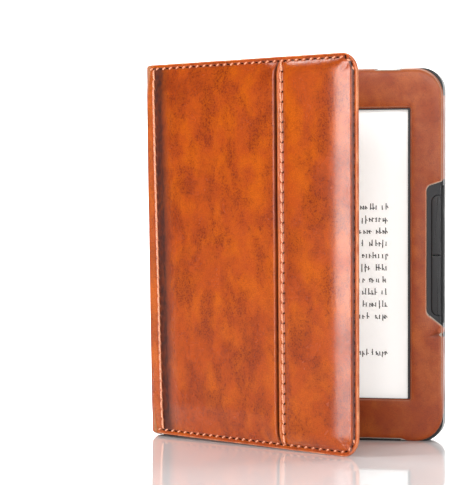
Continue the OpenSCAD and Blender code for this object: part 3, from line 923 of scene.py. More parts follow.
def shaded_thread_material():
    # The pale thread's colours darkened: painted shade for the stitches sunk in the free side's
    # groove
    return shared("Dark waxed thread", thread, srgb(112, 42, 18), srgb(62, 16, 6))


# Dark discs laid on the leather as the painted shade in and beside each needle hole
def hole_shade_material():
    return shared("Needle holes", plastic, srgb(34, 6, 2), rough=0.8, depth=0.05, shine=0.1)


# ---------------------------------------------------------------- the cover

# The deepest line of the cover's seam, from its row of stitches towards the spine
SEAM_CREASE = 2.45


class CoverRelief:
    """How high the outer leather lies over the cover's middle, in millimetres."""

    RIM = 0.42

    def __init__(self, leaf, settings):
        self.leaf = leaf
        self.hinge = settings.hinge_line / MM
        self.seam = settings.seam_line / MM
        self.sewn = settings.stitch_inset / MM
        hinge, seam, edge = self.hinge, self.seam, leaf.width
        top = 0.95 + settings.padding / MM
        self.across = Profile(
            (0, 1.15), (0.5, 1.42), (2, 1.6), (hinge - 1, 1.62), (hinge - 0.5, 1.5),
            (hinge - 0.1, 1.25), (hinge + 0.3, 0.86), (hinge + 0.9, 0.8), (hinge + 3, 0.98),
            (hinge + 5.5, 1.6), (hinge + 9, 2.3), (hinge + 14, top - 0.06), (40, top),
            (seam - 8, top), (seam - 4.5, top - 0.02), (seam - 3.3, top - 0.12),
            (seam - 2.95, top - 0.6), (seam - 2.7, 1.4), (seam - SEAM_CREASE, 0.5),
            (seam - 2.2, 1.7), (seam - 1.9, 2.1), (seam - 1.0, 2.15), (seam - 0.5, 1.85), (seam, 1.6),
            (seam + 0.6, 1.6), (seam + 1.1, 1.45), (seam + 2.4, 2.3), (seam + 6, top - 0.05),
            (edge - 30, top + 0.04), (edge - 20, top - 0.02), (edge - 14, top - 0.2),
            (edge - 11, top - 0.48), (edge - 8.7, top - 0.88), (edge - 6.2, top - 1.45),
            (edge - 4.3, top - 1.93), (edge - 3.1, top - 2.25),
            (edge - self.sewn - 0.5, 0.3), (edge - self.sewn + 0.1, 0.12),
            (edge - 1.2, self.RIM - 0.02), (edge - 0.7, self.RIM), (edge - 0.3, 0.3),
            (edge, -0.05),
        )
        # Creases darkened by painted shade, as (where, how wide, how dark)
        self.creases = [
            (hinge + 1.2, 1.2, 0.9), (hinge + 3.2, 2.2, 0.8), (hinge + 6.0, 3.2, 0.5),
            (seam - 2.5, 0.42, 1.5), (seam + 1.0, 0.3, 0.4),
        ]

    def lift(self, u, end):
        """How much of the padding is there, by the distance from the top or bottom."""
        tight = swell((end - self.sewn - 0.3) / 6.5)
        slack = swell((end - self.sewn - 0.3) / 12, 1.6)
        by_seam = min(max((u - self.seam + 12) / 9, 0), 1)
        return slack + (tight - slack) * by_seam

    def height(self, u, z):
        side, end = self.leaf.reach(u, z)
        across = self.across(self.leaf.width - side)
        rim = self.RIM - 0.16 * bell(end - self.sewn, 0.45)
        rim -= 0.6 * max(0, 0.8 - end) ** 2
        lift = self.lift(u, end)
        soft = wave(u, z, 0.035, 1.7) * 0.14
        soft += wave(u, z, 0.11, 8.1) * 0.04
        full = across + soft * lift * min(1, side / 12)
        return full if across < rim else rim + (full - rim) * lift

    def pressed(self, u, z):
        """How dark the painted shade lies in the creases, in the groove inside the free side's
        stitches and along the top and bottom stitches, from 0 to 1.
        """
        side, end = self.leaf.reach(u, z)
        value = sum(
            depth * bell(u - at, wide) * swell((end - 1.2) / 3)
            for at, wide, depth in self.creases
        )
        # The groove between the pad and the rim lies in the pad's shade: painted shade there
        value += 1.15 * bell(side - self.sewn - 0.35, 0.6)
        value += 0.5 * bell(end - self.sewn, 0.55)
        return min(1, value)

    def rubbed(self, u, z):
        """How light the leather is made on its edges, its seam's ridge and the strip by the spine,
        partly rubbing wear and partly painted highlight, from 0 to 1.
        """
        side, end = self.leaf.reach(u, z)
        value = 0.55 * bell(side - 0.5, 0.4)
        value += 0.5 * bell(u - self.seam + 1.3, 0.55) * swell((end - 1.5) / 2)
        value += 0.25 * bell(u - 3, 2)
        return min(1, value)


def end_lines(height):
    """Grid lines up a leaf, close together near its ends."""
    near = graded((0.35, 4, 0.28), (4, 9, 0.55), (9, 16, 1.2))
    far = [height - z for z in reversed(near)]
    return near + graded((near[-1], far[0], 2.6))[1:-1] + far


def leaf_sheet(leaf, relief, u_lines, z_lines):
    """A sheet over part of a leaf that follows its relief, with its painted shade and its partly
    worn, partly highlighted places marked.
    """
    shape = Shape()
    rows, pressed, rubbed = [], [], []
    for z in z_lines:
        fitted = [leaf.fit(u, z) for u in u_lines]
        rows.append([leaf.point(u, relief.height(u, z), z) for u in fitted])
        pressed.append([relief.pressed(u, z) for u in fitted])
        rubbed.append([relief.rubbed(u, z) for u in fitted])
    shape.rows(rows, pressed=pressed, rubbed=rubbed)
    return shape


def build_cover_leather(settings):
    """The cover's two outer panels, which meet in the folded seam."""
    leaf = cover_leaf(settings)
    relief = CoverRelief(leaf, settings)
    z_lines = end_lines(leaf.height)
    seam = settings.seam_line / MM
    crease = seam - SEAM_CREASE
    edge = leaf.width - 0.3
    left = graded((0.6, 12, 0.4), (12, 22, 1.0), (22, seam - 12, 2.4),
                  (seam - 12, seam - 4.5, 0.8), (seam - 4.5, crease, 0.17))
    right = graded((crease, seam - 1.6, 0.12), (seam - 1.6, seam + 1.6, 0.25),
                   (seam + 1.6, seam + 8, 0.9), (seam + 8, edge - 24, 2.2),
                   (edge - 24, edge - 4.5, 0.9), (edge - 4.5, edge, 0.25))
    material = cover_leather_material()
    for name, lines, node in (
        ("cover_panel_by_spine", left, "cover_leather_left"),
        ("cover_panel_by_free_side", right, "cover_leather_right"),
    ):
        shape = leaf_sheet(leaf, relief, lines, z_lines)
        obj = shape.build(name, [material], facing=leaf.outward)
        thicken(obj, 0.5)
        placed(obj, "cover", "cover_leather", node)


def swept(leaf, path, profile):
    """A closed profile of (in, out) steps swept along an open path on a leaf."""
    shape = Shape()
    shape.tube([
        [leaf.point(p.x + n.x * a, out, p.y + n.y * a) for a, out in profile]
        for p, n in zip(path, inward(path, closed=False))
    ])
    return shape


def free_path(leaf, distance, start):
    """A path round a leaf's free sides at a distance from its edge."""
    far = leaf.width - distance
    r = leaf.free_r - distance
    corners = [(start, distance, 0), (far, distance, r), (far, leaf.height - distance, r),
               (start, leaf.height - distance, 0)]
    return spaced(filleted(corners, closed=False, turn=9), 4.0, closed=False)


def round_profile(half_in, half_out, middle_out):
    """A rounded bar's section: half its size each way and where its middle lies."""
    def squared(v):
        return math.copysign(abs(v) ** (2 / 2.6), v)
    return [(half_in * squared(math.cos(a)), middle_out + half_out * squared(math.sin(a)))
            for a in round_angles(14)]


def build_cover_edge(settings):
    """The painted edge that closes the leather and the lining round the free sides."""
    leaf = cover_leaf(settings)
    shape = swept(leaf, free_path(leaf, 0.5, leaf.spine_r), round_profile(0.5, 0.56, -0.2))
    obj = shape.build("cover_painted_edge", [edge_paint_material()])
    placed(obj, "cover", "edge_paint", "cover_edge")


class LiningRelief:
    """The suede inside the cover, drawn in along its stitches and thin at its edge."""

    def __init__(self, leaf, sewn, depth):
        self.leaf = leaf
        self.sewn = sewn
        self.depth = depth

    def height(self, u, z):
        side, end = self.leaf.reach(u, z)
        near = min(side, end)
        full = 0.68 + (self.depth - 0.68) * swell((near - self.sewn - 0.2) / 2.6)
        full -= 0.12 * bell(near - self.sewn, 0.4)
        full -= 0.5 * max(0, 0.8 - near) ** 2
        soft = wave(u, z, 0.05, 4.4) * 0.07
        return -(full + soft * swell((near - 2.5) / 6))

    def pressed(self, u, z):
        return 0.0

    def rubbed(self, u, z):
        return 0.0


def build_cover_lining(settings):
    """The suede lining inside the cover."""
    leaf = cover_leaf(settings)
    relief = LiningRelief(leaf, settings.stitch_inset / MM, 1.58)
    lines = graded((0.7, 4, 0.5), (4, 12, 1.2), (12, leaf.width - 10, 3.2),
                   (leaf.width - 10, leaf.width - 4, 1.0), (leaf.width - 4, leaf.width - 0.45, 0.4))
    shape = leaf_sheet(leaf, relief, lines, end_lines(leaf.height))
    obj = shape.build("cover_suede", [suede_material()], facing=-leaf.outward)
    thicken(obj, 0.3)
    placed(obj, "cover", "suede", "cover_lining")


def build_cover_fill(settings):
    """The board and the foam pad inside the cover, set in from its thin sewn edge."""
    leaf = cover_leaf(settings)
    relief = CoverRelief(leaf, settings)
    away = settings.stitch_inset / MM + 1.5
    board = card("Cover board", (0.36, 0.3, 0.22), (0.46, 0.4, 0.31))
    pad = foam("Padding foam", (0.8, 0.76, 0.66))

    def layer(name, material, slot, low, high, node):
        u_lines = graded((away, 20, 1.6), (20, leaf.width - 20, 4),
                         (leaf.width - 20, leaf.width - away, 1.2))
        z_lines = graded((away, 12, 1.2), (12, leaf.height - 12, 4),
                         (leaf.height - 12, leaf.height - away, 1.2))
        shape = Shape()
        for surface in (low, high):
            rows = []
            for z in z_lines:
                end = min(z, leaf.height - z) - away
                cut = 6 - math.sqrt(36 - (6 - end) ** 2) if end < 6 else 0
                rows.append([
                    leaf.point(min(u, leaf.width - away - cut), surface(u, z), z)
                    for u in u_lines
                ])
            shape.rows(rows)
        wide, tall = len(u_lines), len(z_lines)
        rim = list(range(wide))
        rim += [j * wide + wide - 1 for j in range(1, tall)]
        rim += [(tall - 1) * wide + i for i in range(wide - 2, -1, -1)]
        rim += [j * wide for j in range(tall - 2, 0, -1)]
        other = wide * tall
        for a, b in zip(rim, rim[1:] + rim[:1]):
            shape.face((a, b, other + b, other + a))
        return placed(shape.build(name, [material]), "cover", slot, node)

    layer("cover_stiff_board", board, "board_card", lambda u, z: -0.95, lambda u, z: 0.1,
          "cover_board")
    crease = relief.seam - SEAM_CREASE
    groove = relief.hinge + 1.2
    foam_least, foam_gap, leather_depth = 0.14, 5.2, 0.62

    def pad_top(u, z):
        """The pad stops short of the groove and of the seam's deep crease."""
        if min(abs(u - crease), abs(u - groove)) < foam_gap:
            return foam_least
        return max(foam_least, relief.height(u, z) - leather_depth)

    layer("cover_pad", pad, "foam", lambda u, z: 0.1, pad_top, "cover_foam")


def stitch_rings(centre, along, out, side, length, radius, rise):
    """Rings of one stitch: a short cord whose ends dive into the leather."""
    rings = []
    for i in range(7):
        t = -1 + i / 3
        middle = centre + along * (t * length / 2) + out * (rise * (1 - t ** 4) - 0.24 * t ** 4)
        r = radius * (1 - 0.72 * abs(t) ** 3.5)
        rings.append([middle + (side * math.cos(a) + out * 0.8 * math.sin(a)) * r
                      for a in round_angles(8)])
    return rings


def sew(shape, holes, leaf, path, pitch, height, length, radius, rise, spin=0.16, hole=None,
        flip=1):
    """Adds stitches along a path, and between each and the next one a dark disc as the painted shade
    of a needle hole.

    hole gives half its length, half its width and how far it lies beside the path.
    """
    for at, way in walked(path, pitch):
        along = (leaf.along * way.x + UP * way.y).normalized()
        out = leaf.outward * flip
        side = out.cross(along).normalized()
        tilted = (along + side * spin).normalized()
        centre = leaf.point(at.x, height(at.x, at.y), at.y)
        shape.tube(stitch_rings(centre, tilted, out, side, length, radius, rise))
        if hole is None:
            continue
        # A dark disc beside each stitch: painted shade of the hole and of the stitch
        half_long, half_wide, aside = hole
        spot = at + way * (pitch / 2)
        middle = leaf.point(spot.x, height(spot.x, spot.y), spot.y) + side * aside
        slant = (along - side * 0.7).normalized()
        square = out.cross(slant).normalized()
        first = [
            middle + out * 0.06 + slant * (half_long * math.cos(a))
            + square * (half_wide * math.sin(a))
            for a in round_angles(10)
        ]
        holes.tube([[p - out * 0.4 for p in first], first])


def build_cover_stitching(settings):
    """Three rows of stitches on the outer leather, and their other side on the lining."""
    leaf = cover_leaf(settings)
    relief = CoverRelief(leaf, settings)
    lining = LiningRelief(leaf, settings.stitch_inset / MM, 1.58)
    pitch = settings.stitch_pitch / MM
    away = settings.stitch_inset / MM
    hinge = settings.hinge_line / MM
    seam = settings.seam_line / MM
    r = leaf.free_r - away
    far = leaf.width - away
    top = leaf.height - away
    bottom_row = filleted([(1.4, away, 0), (far, away, r), (far, away + r, 0)],
                          closed=False, turn=9)
    top_row = [Vector((p.x, leaf.height - p.y)) for p in reversed(bottom_row)]
    free_row = [Vector((far, away + r)), Vector((far, top - r))]
    hinge_row = [Vector((hinge, away + 0.6)), Vector((hinge, top - 0.6))]
    seam_row = [Vector((seam, away + 0.4)), Vector((seam, top - 0.4))]
    dots = {"length": 1.9, "radius": 0.42, "rise": 0.16, "hole": (0.95, 0.5, 0.0), "spin": 0.45}
    cord = {"length": 5.0, "radius": 0.5, "rise": 0.46, "spin": 0.09}
    ridge = {"length": 4.5, "radius": 0.5, "rise": 0.14, "hole": (0.5, 0.34, -0.8), "spin": 0.14}
    sunk = {"length": 3.4, "radius": 0.42, "rise": -0.1, "hole": (1.1, 0.6, 0.2), "spin": 0.12}
    # The free side's stitches get the darker thread: painted shade from the pad
    pale, dark = thread_material(), shaded_thread_material()
    rows = (
        ("cover_bottom_stitches", bottom_row, "cover_edge_stitching", dots, pale),
        ("cover_top_stitches", top_row, None, dots, pale),
        ("cover_free_side_stitches", free_row, None, sunk, dark),
        ("cover_hinge_stitches", hinge_row, "cover_hinge_stitching", cord, pale),
        ("cover_seam_stitches", seam_row, "cover_seam_stitching", ridge, pale),
    )
    for name, path, node, looks, waxed in rows:
        shape, holes, inner = Shape(), Shape(), Shape()
        sew(shape, holes, leaf, path, pitch, relief.height, **looks)
        sew(inner, None, leaf, path, pitch, lining.height, length=2.6, radius=0.26, rise=0.08,
            flip=-1)
        obj = shape.build(name, [waxed])
        placed(obj, "cover", "thread", *([node] if node else []))
        if holes.points:
            placed(holes.build(name + "_holes", [hole_shade_material()]), "cover", "cover_leather")
        placed(inner.build(name + "_inside", [thread_material()]), "cover", "thread")


# ---------------------------------------------------------------- the spine's folds

# How far the back panel's leather lies behind the board at the spine
BACK_EDGE_OUT = 1.35


def arc_points(centre, start, end, radius_start, radius_end):
    """Points round a centre from one direction to another, clockwise from above."""
    angle = start.xy.angle_signed(end.xy)
    result = []
    for t in (i / 8 for i in range(9)):
        spun = Matrix.Rotation(-angle * t, 3, "Z") @ start
        result.append(centre + spun * (radius_start + (radius_end - radius_start) * t))
    return result


def flat_point(leaf, u, out):
    """A leaf's point at the floor, before the leaf sags."""
    return leaf.corner + leaf.along * u + leaf.outward * out


def fold_sheet(name, outer, inner, shift):
    """A closed strip of leather and lining laid round a fold between two bodies.

    outer and inner are flat points; shift(i, z) moves the i-th pair of them at height z.
    """
    low, high = 0.25, COVER_H - 0.25
    count = len(outer)
    levels = graded((low, low + 1.2, 0.3), (low + 1.2, high - 1.2, 5), (high - 1.2, high, 0.3))
    shape = Shape()
    rows = []
    for z in levels:
        pinch = 0.42 * max(0, 1 - min(z - low, high - z) / 1.0) ** 2
        moved = [shift(i, z) + UP * z for i in range(count)]
        middle = [(a + b) / 2 for a, b in zip(outer, inner)]
        front = [p.lerp(m, pinch) + d for p, m, d in zip(outer, middle, moved)]
        back = [p.lerp(m, pinch) + d for p, m, d in zip(inner, middle, moved)]
        rows.append(front + back[::-1])
    wide = 2 * count
    shape.rows(rows, around=True)
    shape.slots = [0 if j < count - 1 or j == wide - 1 else 1 for _ in rows[1:]
                   for j in range(wide)]
    for row in (0, len(rows) - 1):
        first = row * wide
        for j in range(count - 1):
            shape.face((first + j, first + j + 1, first + wide - 2 - j, first + wide - 1 - j), 2)
    obj = shape.build(name, [cover_leather_material(), suede_material(), edge_paint_material()])
    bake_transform(obj)
    return obj


def build_spine(settings):
    """The spine: one strip laid round the fold by the holder and one round the fold by the cover."""
    leaf = cover_leaf(settings)
    relief = CoverRelief(leaf, settings)
    down = turned((0, -1, 0), SPINE_OPEN)
    out = turned((-1, 0, 0), SPINE_OPEN)
    length = (FRONT_FOLD - BACK_FOLD).length
    half = length / 2
    outer_t, inner_t = 1.15, 0.95
    board_back = back_leaf().corner.y
    back_out = board_back + BACK_EDGE_OUT
    # from the back panel round the rear fold to the middle of the spine
    bend = arc_points(BACK_FOLD, Vector((0, 1, 0)), out, back_out - BACK_FOLD.y, outer_t)
    rear_outer = [Vector((-HOLDER_HALF + x, back_out, 0)) for x in (1.2, 0, -1.2, -2.3)]
    rear_outer += bend + [BACK_FOLD + down * s + out * outer_t for s in (1, 2, 3.4, 5, half)]
    inner_start = board_back + 0.1
    rear_inner = [Vector((-HOLDER_HALF + x, inner_start, 0)) for x in (1.2, 0, -1.0, -1.7)]
    corner = BACK_FOLD - out * inner_t + down * 0.6
    lead = rear_inner[-1]
    rear_inner += [lead.lerp(corner, i / 8) for i in range(1, 9)]
    rear_inner += [BACK_FOLD + down * s - out * inner_t for s in (1.2, 1.8, 2.6, 3.8, 5.2, half)]
    fold_sheet("spine_rear_fold", rear_outer, rear_inner, lambda i, z: Vector((0, 0, 0)))
    # from the middle of the spine round the front fold to the cover
    cover_start = 1.0
    cover_out = relief.height(cover_start, COVER_H / 2)
    front_outer = [BACK_FOLD + down * s + out * outer_t
                   for s in (half, length - 5, length - 3.4, length - 2, length - 1)]
    front_outer += arc_points(FRONT_FOLD, out, leaf.outward, outer_t, cover_out - 0.12)
    bent = len(front_outer)
    front_outer += [flat_point(leaf, u, relief.height(u, COVER_H / 2) - 0.02) for u in (1.5, 1.9)]
    front_inner = [BACK_FOLD + down * s - out * inner_t
                   for s in (half, length - 5, length - 3.8, length - 2.8)]
    target = flat_point(leaf, 3.4, -1.5)
    begin = front_inner[-1]
    rest = len(front_outer) - len(front_inner)
    front_inner += [begin.lerp(target, i / rest) for i in range(1, rest + 1)]

    def sag(i, z):
        """The strip follows the hanging cover more and more on its way to it."""
        return leaf.shift(0.5 + max(0, i - bent), z) * min(1, i / 5)

    obj = fold_sheet("spine_front_fold", front_outer, front_inner, sag)
    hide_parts("spine_leather", "spine_lining")


# ---------------------------------------------------------------- the holder

class BackRelief:
    """The leather on the holder's back: a pad inside its stitches, a groove by the fold."""

    def __init__(self, leaf, away):
        self.leaf = leaf
        self.away = away
        self.across = Profile(
            (0, BACK_EDGE_OUT), (2.2, BACK_EDGE_OUT), (3, 1.22), (3.6, 1.3), (4.2, 0.98),
            (5.4, 0.88), (6.6, 1.1), (9, 1.36), (14, 1.48), (leaf.width - 14, 1.48),
            (leaf.width - 7, 1.4), (leaf.width - 4, 1.22), (leaf.width - 2.7, 0.98),
            (leaf.width - 1.4, 1.02), (leaf.width - 0.6, 0.9), (leaf.width, 0.5),
        )

    def height(self, u, z):
        side, end = self.leaf.reach(u, z)
        across = self.across(self.leaf.width - side)
        rim = 1.02 - 0.12 * bell(end - self.away, 0.5) - 0.6 * max(0, 0.7 - end) ** 2
        soft = wave(u, z, 0.04, 21.0) * 0.05
        lift = swell((end - 2.6) / 5)
        return rim + (across + soft * min(1, side / 10) - rim) * lift if across > rim else across

    # Painted shade in the groove by the fold and along the stitches
    def pressed(self, u, z):
        side, end = self.leaf.reach(u, z)
        value = 0.8 * bell(u - 5.3, 1.1)
        value += 0.6 * bell(min(side, end) - 2.8, 0.4)
        return min(1, value)

    # Edges lightened partly by rubbing wear and partly by painted highlight
    def rubbed(self, u, z):
        side, end = self.leaf.reach(u, z)
        return 0.35 * bell(min(side, end) - 0.7, 0.5)


def build_back_panel(settings):
    """The holder's back: padded leather, its painted edge and its stitches."""
    leaf = back_leaf()
    away = settings.stitch_inset / MM
    relief = BackRelief(leaf, away)
    lines = graded((0, 3, 0.5), (3, 8, 0.4), (8, 15, 1.2), (15, leaf.width - 15, 3),
                   (leaf.width - 15, leaf.width - 5, 1), (leaf.width - 5, leaf.width - 0.3, 0.3))
    shape = leaf_sheet(leaf, relief, lines, end_lines(leaf.height))
    obj = shape.build("back_panel", [cover_leather_material()], facing=leaf.outward)
    thicken(obj, 0.5)
    placed(obj, "holder", "frame_leather", "back_leather")
    edge = swept(leaf, free_path(leaf, 0.45, 0.4), round_profile(0.45, 0.62, 0.38))
    placed(edge.build("back_painted_edge", [edge_paint_material()]), "holder", "edge_paint")
    r = leaf.free_r - away
    far, top = leaf.width - away, leaf.height - away
    border = filleted([(4.5, away, 0), (far, away, r), (far, top, r), (4.5, top, 0)],
                      closed=False, turn=9)
    thread_row, holes = Shape(), Shape()
    for path in (border, [Vector((3, away)), Vector((3, top))]):
        sew(thread_row, holes, leaf, path, settings.stitch_pitch / MM, relief.height,
            length=2.4, radius=0.45, rise=0.12, spin=0.4, hole=(0.9, 0.45, 0.0))
    placed(thread_row.build("back_stitches", [thread_material()]), "holder", "thread")
    placed(holes.build("back_stitches_holes", [hole_shade_material()]), "holder", "cover_leather")


# The frame's key notches, window and open lower lip, in millimetres
NOTCH_IN = 53.0
NOTCH_LOW, NOTCH_HIGH = 48.9, 110.9
NOTCH_SHOULDER_LOW, NOTCH_SHOULDER_HIGH = 54.1, 108.7
WINDOW_HALF, WINDOW_LOW, WINDOW_HIGH = 46.4, 17.5, 142.3
LIP_HALF, LIP_UP = 42.0, 0.9
# Points of the outline that carry the gathered fold below each notch
PLEAT_POINTS = 15


def frame_outline(settings):
    """The frame's outer outline with its key notches, anticlockwise from the front."""
    r = settings.corner_radius / MM
    power_in, power_out = 31.6, 41.4
    right = [
        (LIP_HALF, LIP_UP, 3), (LIP_HALF + 3, 0.05, 3), (HOLDER_HALF, 0.05, r),
        *((HOLDER_HALF, 42.0 + 0.4 * i, 0) for i in range(PLEAT_POINTS)),
        (HOLDER_HALF, NOTCH_LOW, 1.4), (NOTCH_IN, NOTCH_SHOULDER_LOW, 2.6),
        (NOTCH_IN, NOTCH_SHOULDER_HIGH, 2.6), (HOLDER_HALF, NOTCH_HIGH, 1.4),
        (HOLDER_HALF, HOLDER_H, r), (power_out + 1.2, HOLDER_H, 2),
        (power_out - 0.2, HOLDER_H - 0.4, 2), (power_in + 0.2, HOLDER_H - 0.4, 2),
        (power_in - 1.2, HOLDER_H, 2),
    ]
    left = [(-x, z, radius) for x, z, radius in reversed(right[:8 + PLEAT_POINTS])]
    return spaced(filleted(right + left, turn=8), 2.5)


def build_frame_leather(settings):
    """The leather round the screen, rolled over its outer edge and in at the window."""
    outer = frame_outline(settings)
    window_r = settings.window_radius / MM
    window = spaced(filleted([
        (-WINDOW_HALF, WINDOW_LOW, window_r), (WINDOW_HALF, WINDOW_LOW, window_r),
        (WINDOW_HALF, WINDOW_HIGH, window_r), (-WINDOW_HALF, WINDOW_HIGH, window_r),
    ], turn=15), 2.5)
    front = HOLDER_FRONT
    bezel = BEZEL_FRONT - 0.04
    notch = evened([
        1.0 if abs(p.x) < HOLDER_HALF - 0.4 and NOTCH_LOW - 1 < p.y < NOTCH_HIGH + 1 else 0.0
        for p in outer
    ], 2)
    low_end = evened([1.0 if p.y < 13 else 0.0 for p in outer], 3)
    roll = [(settings.roll / MM * (1 - low) + 1.3 * low) * (1 - n) + 0.55 * n
            for n, low in zip(notch, low_end)]
    deep = [
        bezel * n + (1 - n) * ((front + 1.9) * low + 2.6 * (1 - low))
        for n, low in zip(notch, low_end)
    ]
    sides = inward(outer)
    folds = [pleat(abs(p.x), p.y) if abs(p.x) > HOLDER_HALF - 0.5 else 0.0 for p in outer]

    def outer_row(step):
        """One ring round the outer edge: from behind, along the side, over the roll."""
        row = []
        for p, n, r, back, inside, fold in zip(outer, sides, roll, deep, notch, folds):
            if step < 3:
                distance = (0.5, 0.06, -0.04)[step] * (1 - inside)
                y = back - (0.0, 0.0, 0.5)[step] * (1 - inside)
            elif step == 3:
                distance, y = 0.0, min(back, front + r + 0.01)
            else:
                distance, y = rolled(r, front, 5)[step - 3]
                y = min(y, back)
            if step > 1:
                distance += 0.32 * fold
                y += 0.42 * fold if step > 4 else 0.0
            flat = p + n * distance
            row.append(Vector((flat.x, y, flat.y)))
        return row

    shape = Shape()
    rows = [outer_row(step) for step in range(9)]
    # Painted highlight, partly rubbing wear, on each ring: first on the rolled outer edge, then on
    # the notches' turned edges
    wear = (0.0, 0.0, 0.0, 0.1, 0.3, 0.4, 0.25, 0.1, 0.0)
    notch_rub_highlight = (0.0, 0.2, 0.5, 1.0, 1.0, 0.9, 0.6, 0.2, 0.0)
    rubbed = [
        [wear[i] * (1 - n) * (1 - 0.9 * low) + notch_rub_highlight[i] * n for n, low in zip(notch, low_end)]
        for i in range(len(rows))
    ]
    # Painted shade in the pleat's fold
    pressed = [[0.75 * fold if i > 1 else 0.0 for fold in folds] for i in range(len(rows))]
    base = shape.rows(rows, around=True, rubbed=rubbed, pressed=pressed)
    outer_last = base + (len(rows) - 1) * len(outer)
    window_steps = [(-0.35, bezel), (0.0, bezel), (0.0, front + 0.62)]
    window_steps += rolled(0.6, front, 5)
    rows = [[Vector((p.x, y, p.y)) for p in inset(window, -d)] for d, y in window_steps]
    # Painted highlight, partly rubbing wear, along the window's rolled edge
    window_rub_highlight = [[(0.0, 0.0, 0.2, 0.3, 0.45, 0.45, 0.3, 0.15, 0.0)[i]] * len(window)
            for i in range(len(rows))]
    base = shape.rows(rows, around=True, rubbed=window_rub_highlight)
    window_last = base + (len(rows) - 1) * len(window)
    fill_front(shape, outer_last, len(outer), window_last, len(window))
    obj = shape.build("frame_leather_cover", [frame_leather_material()], facing=(0, -1, 0))
    placed(obj, "holder", "frame_leather", "frame_leather")


def evened(values, reach):
    """The values round a closed path, each averaged with its neighbours."""
    count = len(values)
    return [
        sum(values[(i + k) % count] for k in range(-reach, reach + 1)) / (2 * reach + 1)
        for i in range(count)
    ]


def pleat(x, z):
    """The small gathered fold in the leather below each notch, from 0 to 1."""
    fade = min(1, max(0, (x - 54.5) / 3))
    first = bell(z - 46.2 + 0.25 * (x - 58), 0.45)
    second = bell(z - 44.2 - 0.45 * (x - 58), 0.4)
    return fade * min(1, first + 0.6 * second)


def fill_front(shape, outer_first, outer_count, window_first, window_count):
    """Fills the frame's front between two rings, with points inside for a soft surface."""
    ids = list(range(outer_first, outer_first + outer_count))
    ids += list(range(window_first, window_first + window_count))
    flat = [Vector((shape.points[i].x, shape.points[i].z)) for i in ids]
    front = HOLDER_FRONT
    shape.marks.setdefault("pressed", {})
    edges = [(i, (i + 1) % outer_count) for i in range(outer_count)]
    edges += [(outer_count + i, outer_count + (i + 1) % window_count)
              for i in range(window_count)]
    inside = []
    step = 2.3
    z = 3.0
    while z < HOLDER_H - 2.5:
        x = -HOLDER_HALF + 3
        while x < HOLDER_HALF - 2.5:
            if on_frame(x, z):
                inside.append(Vector((x, z)))
            x += step
        z += step
    for i in range(7):
        for k in range(11):
            x, z = 54.2 + 0.55 * i, 42.6 + 0.55 * k
            inside = [p for p in inside if (p - Vector((x, z))).length > 0.7]
            inside += [Vector((x, z)), Vector((-x, z))]
    made = delaunay_2d_cdt(flat + inside, edges, [], 1, 1e-6)
    points, faces, sources = made[0], made[2], made[3]
    new_ids = []
    for p, source in zip(points, sources):
        if source and source[0] < len(ids):
            new_ids.append(ids[source[0]])
            continue
        soft = wave(p.x, p.y, 0.06, 3.3) * 0.1
        fold = pleat(abs(p.x), p.y)
        shape.points.append(Vector((p.x, front - 0.05 + soft + 0.4 * fold, p.y)))
        # Painted shade in the pleat's fold
        shape.marks["pressed"][len(shape.points) - 1] = 0.7 * fold
        new_ids.append(len(shape.points) - 1)
    for face in faces:
        centre = sum((points[i] for i in face), Vector((0, 0))) / len(face)
        if not in_window(centre.x, centre.y, 0.3) and in_outline(centre.x, centre.y):
            shape.face([new_ids[i] for i in face])


def in_window(x, z, grow):
    return abs(x) < WINDOW_HALF + grow and WINDOW_LOW - grow < z < WINDOW_HIGH + grow


def in_outline(x, z):
    """True on the frame and not in a key notch."""
    if abs(x) > NOTCH_IN + 0.3 and NOTCH_LOW < z < NOTCH_HIGH:
        low = NOTCH_LOW + (HOLDER_HALF - abs(x)) * (
            (NOTCH_SHOULDER_LOW - NOTCH_LOW) / (HOLDER_HALF - NOTCH_IN))
        high = NOTCH_HIGH - (HOLDER_HALF - abs(x)) * (
            (NOTCH_HIGH - NOTCH_SHOULDER_HIGH) / (HOLDER_HALF - NOTCH_IN))
        return not low < z < high
    return True


def on_frame(x, z):
    """True well inside the frame's front face."""
    if in_window(x, z, 1.6):
        return False
    if abs(x) > NOTCH_IN - 2.4 and NOTCH_LOW - 2.4 < z < NOTCH_HIGH + 2.4:
        return False
    r = 12
    dx = abs(x) - (HOLDER_HALF - r)
    dz = abs(z - HOLDER_H / 2) - (HOLDER_H / 2 - r)
    return not (dx > 0 and dz > 0 and math.hypot(dx, dz) > r - 2.2)


def finish_holder(settings):
    """Materials of the holder's tray, core, board, lining and steel strips."""
    shell = plastic("Tray plastic", settings.shell, rough=0.38, depth=0.03)
    board = card("Grey board", (0.32, 0.29, 0.25), (0.42, 0.38, 0.33))
    finish_node("holder_tray", shell, edge=0.18)
    finish_node("frame_core", board)
    finish_node("back_board", board)
    finish_node("tray_lining", suede_material())
    finish_node("frame_steel_plates", metal("Steel strip", (0.55, 0.56, 0.58)))


def finish_cover_core():
    """Materials of the spine's board and the cover's magnets."""
    finish_node("spine_board", bpy.data.materials["Cover board"])
    finish_node("cover_magnets", metal("Nickel plate", (0.7, 0.69, 0.66), rough=0.18))


# ---------------------------------------------------------------- the reader

# How far a key's flange reaches in beyond its cap
KEY_FLANGE = 1.7
# Middle of the page's first full line, above the floor
FIRST_LINE = 99.6


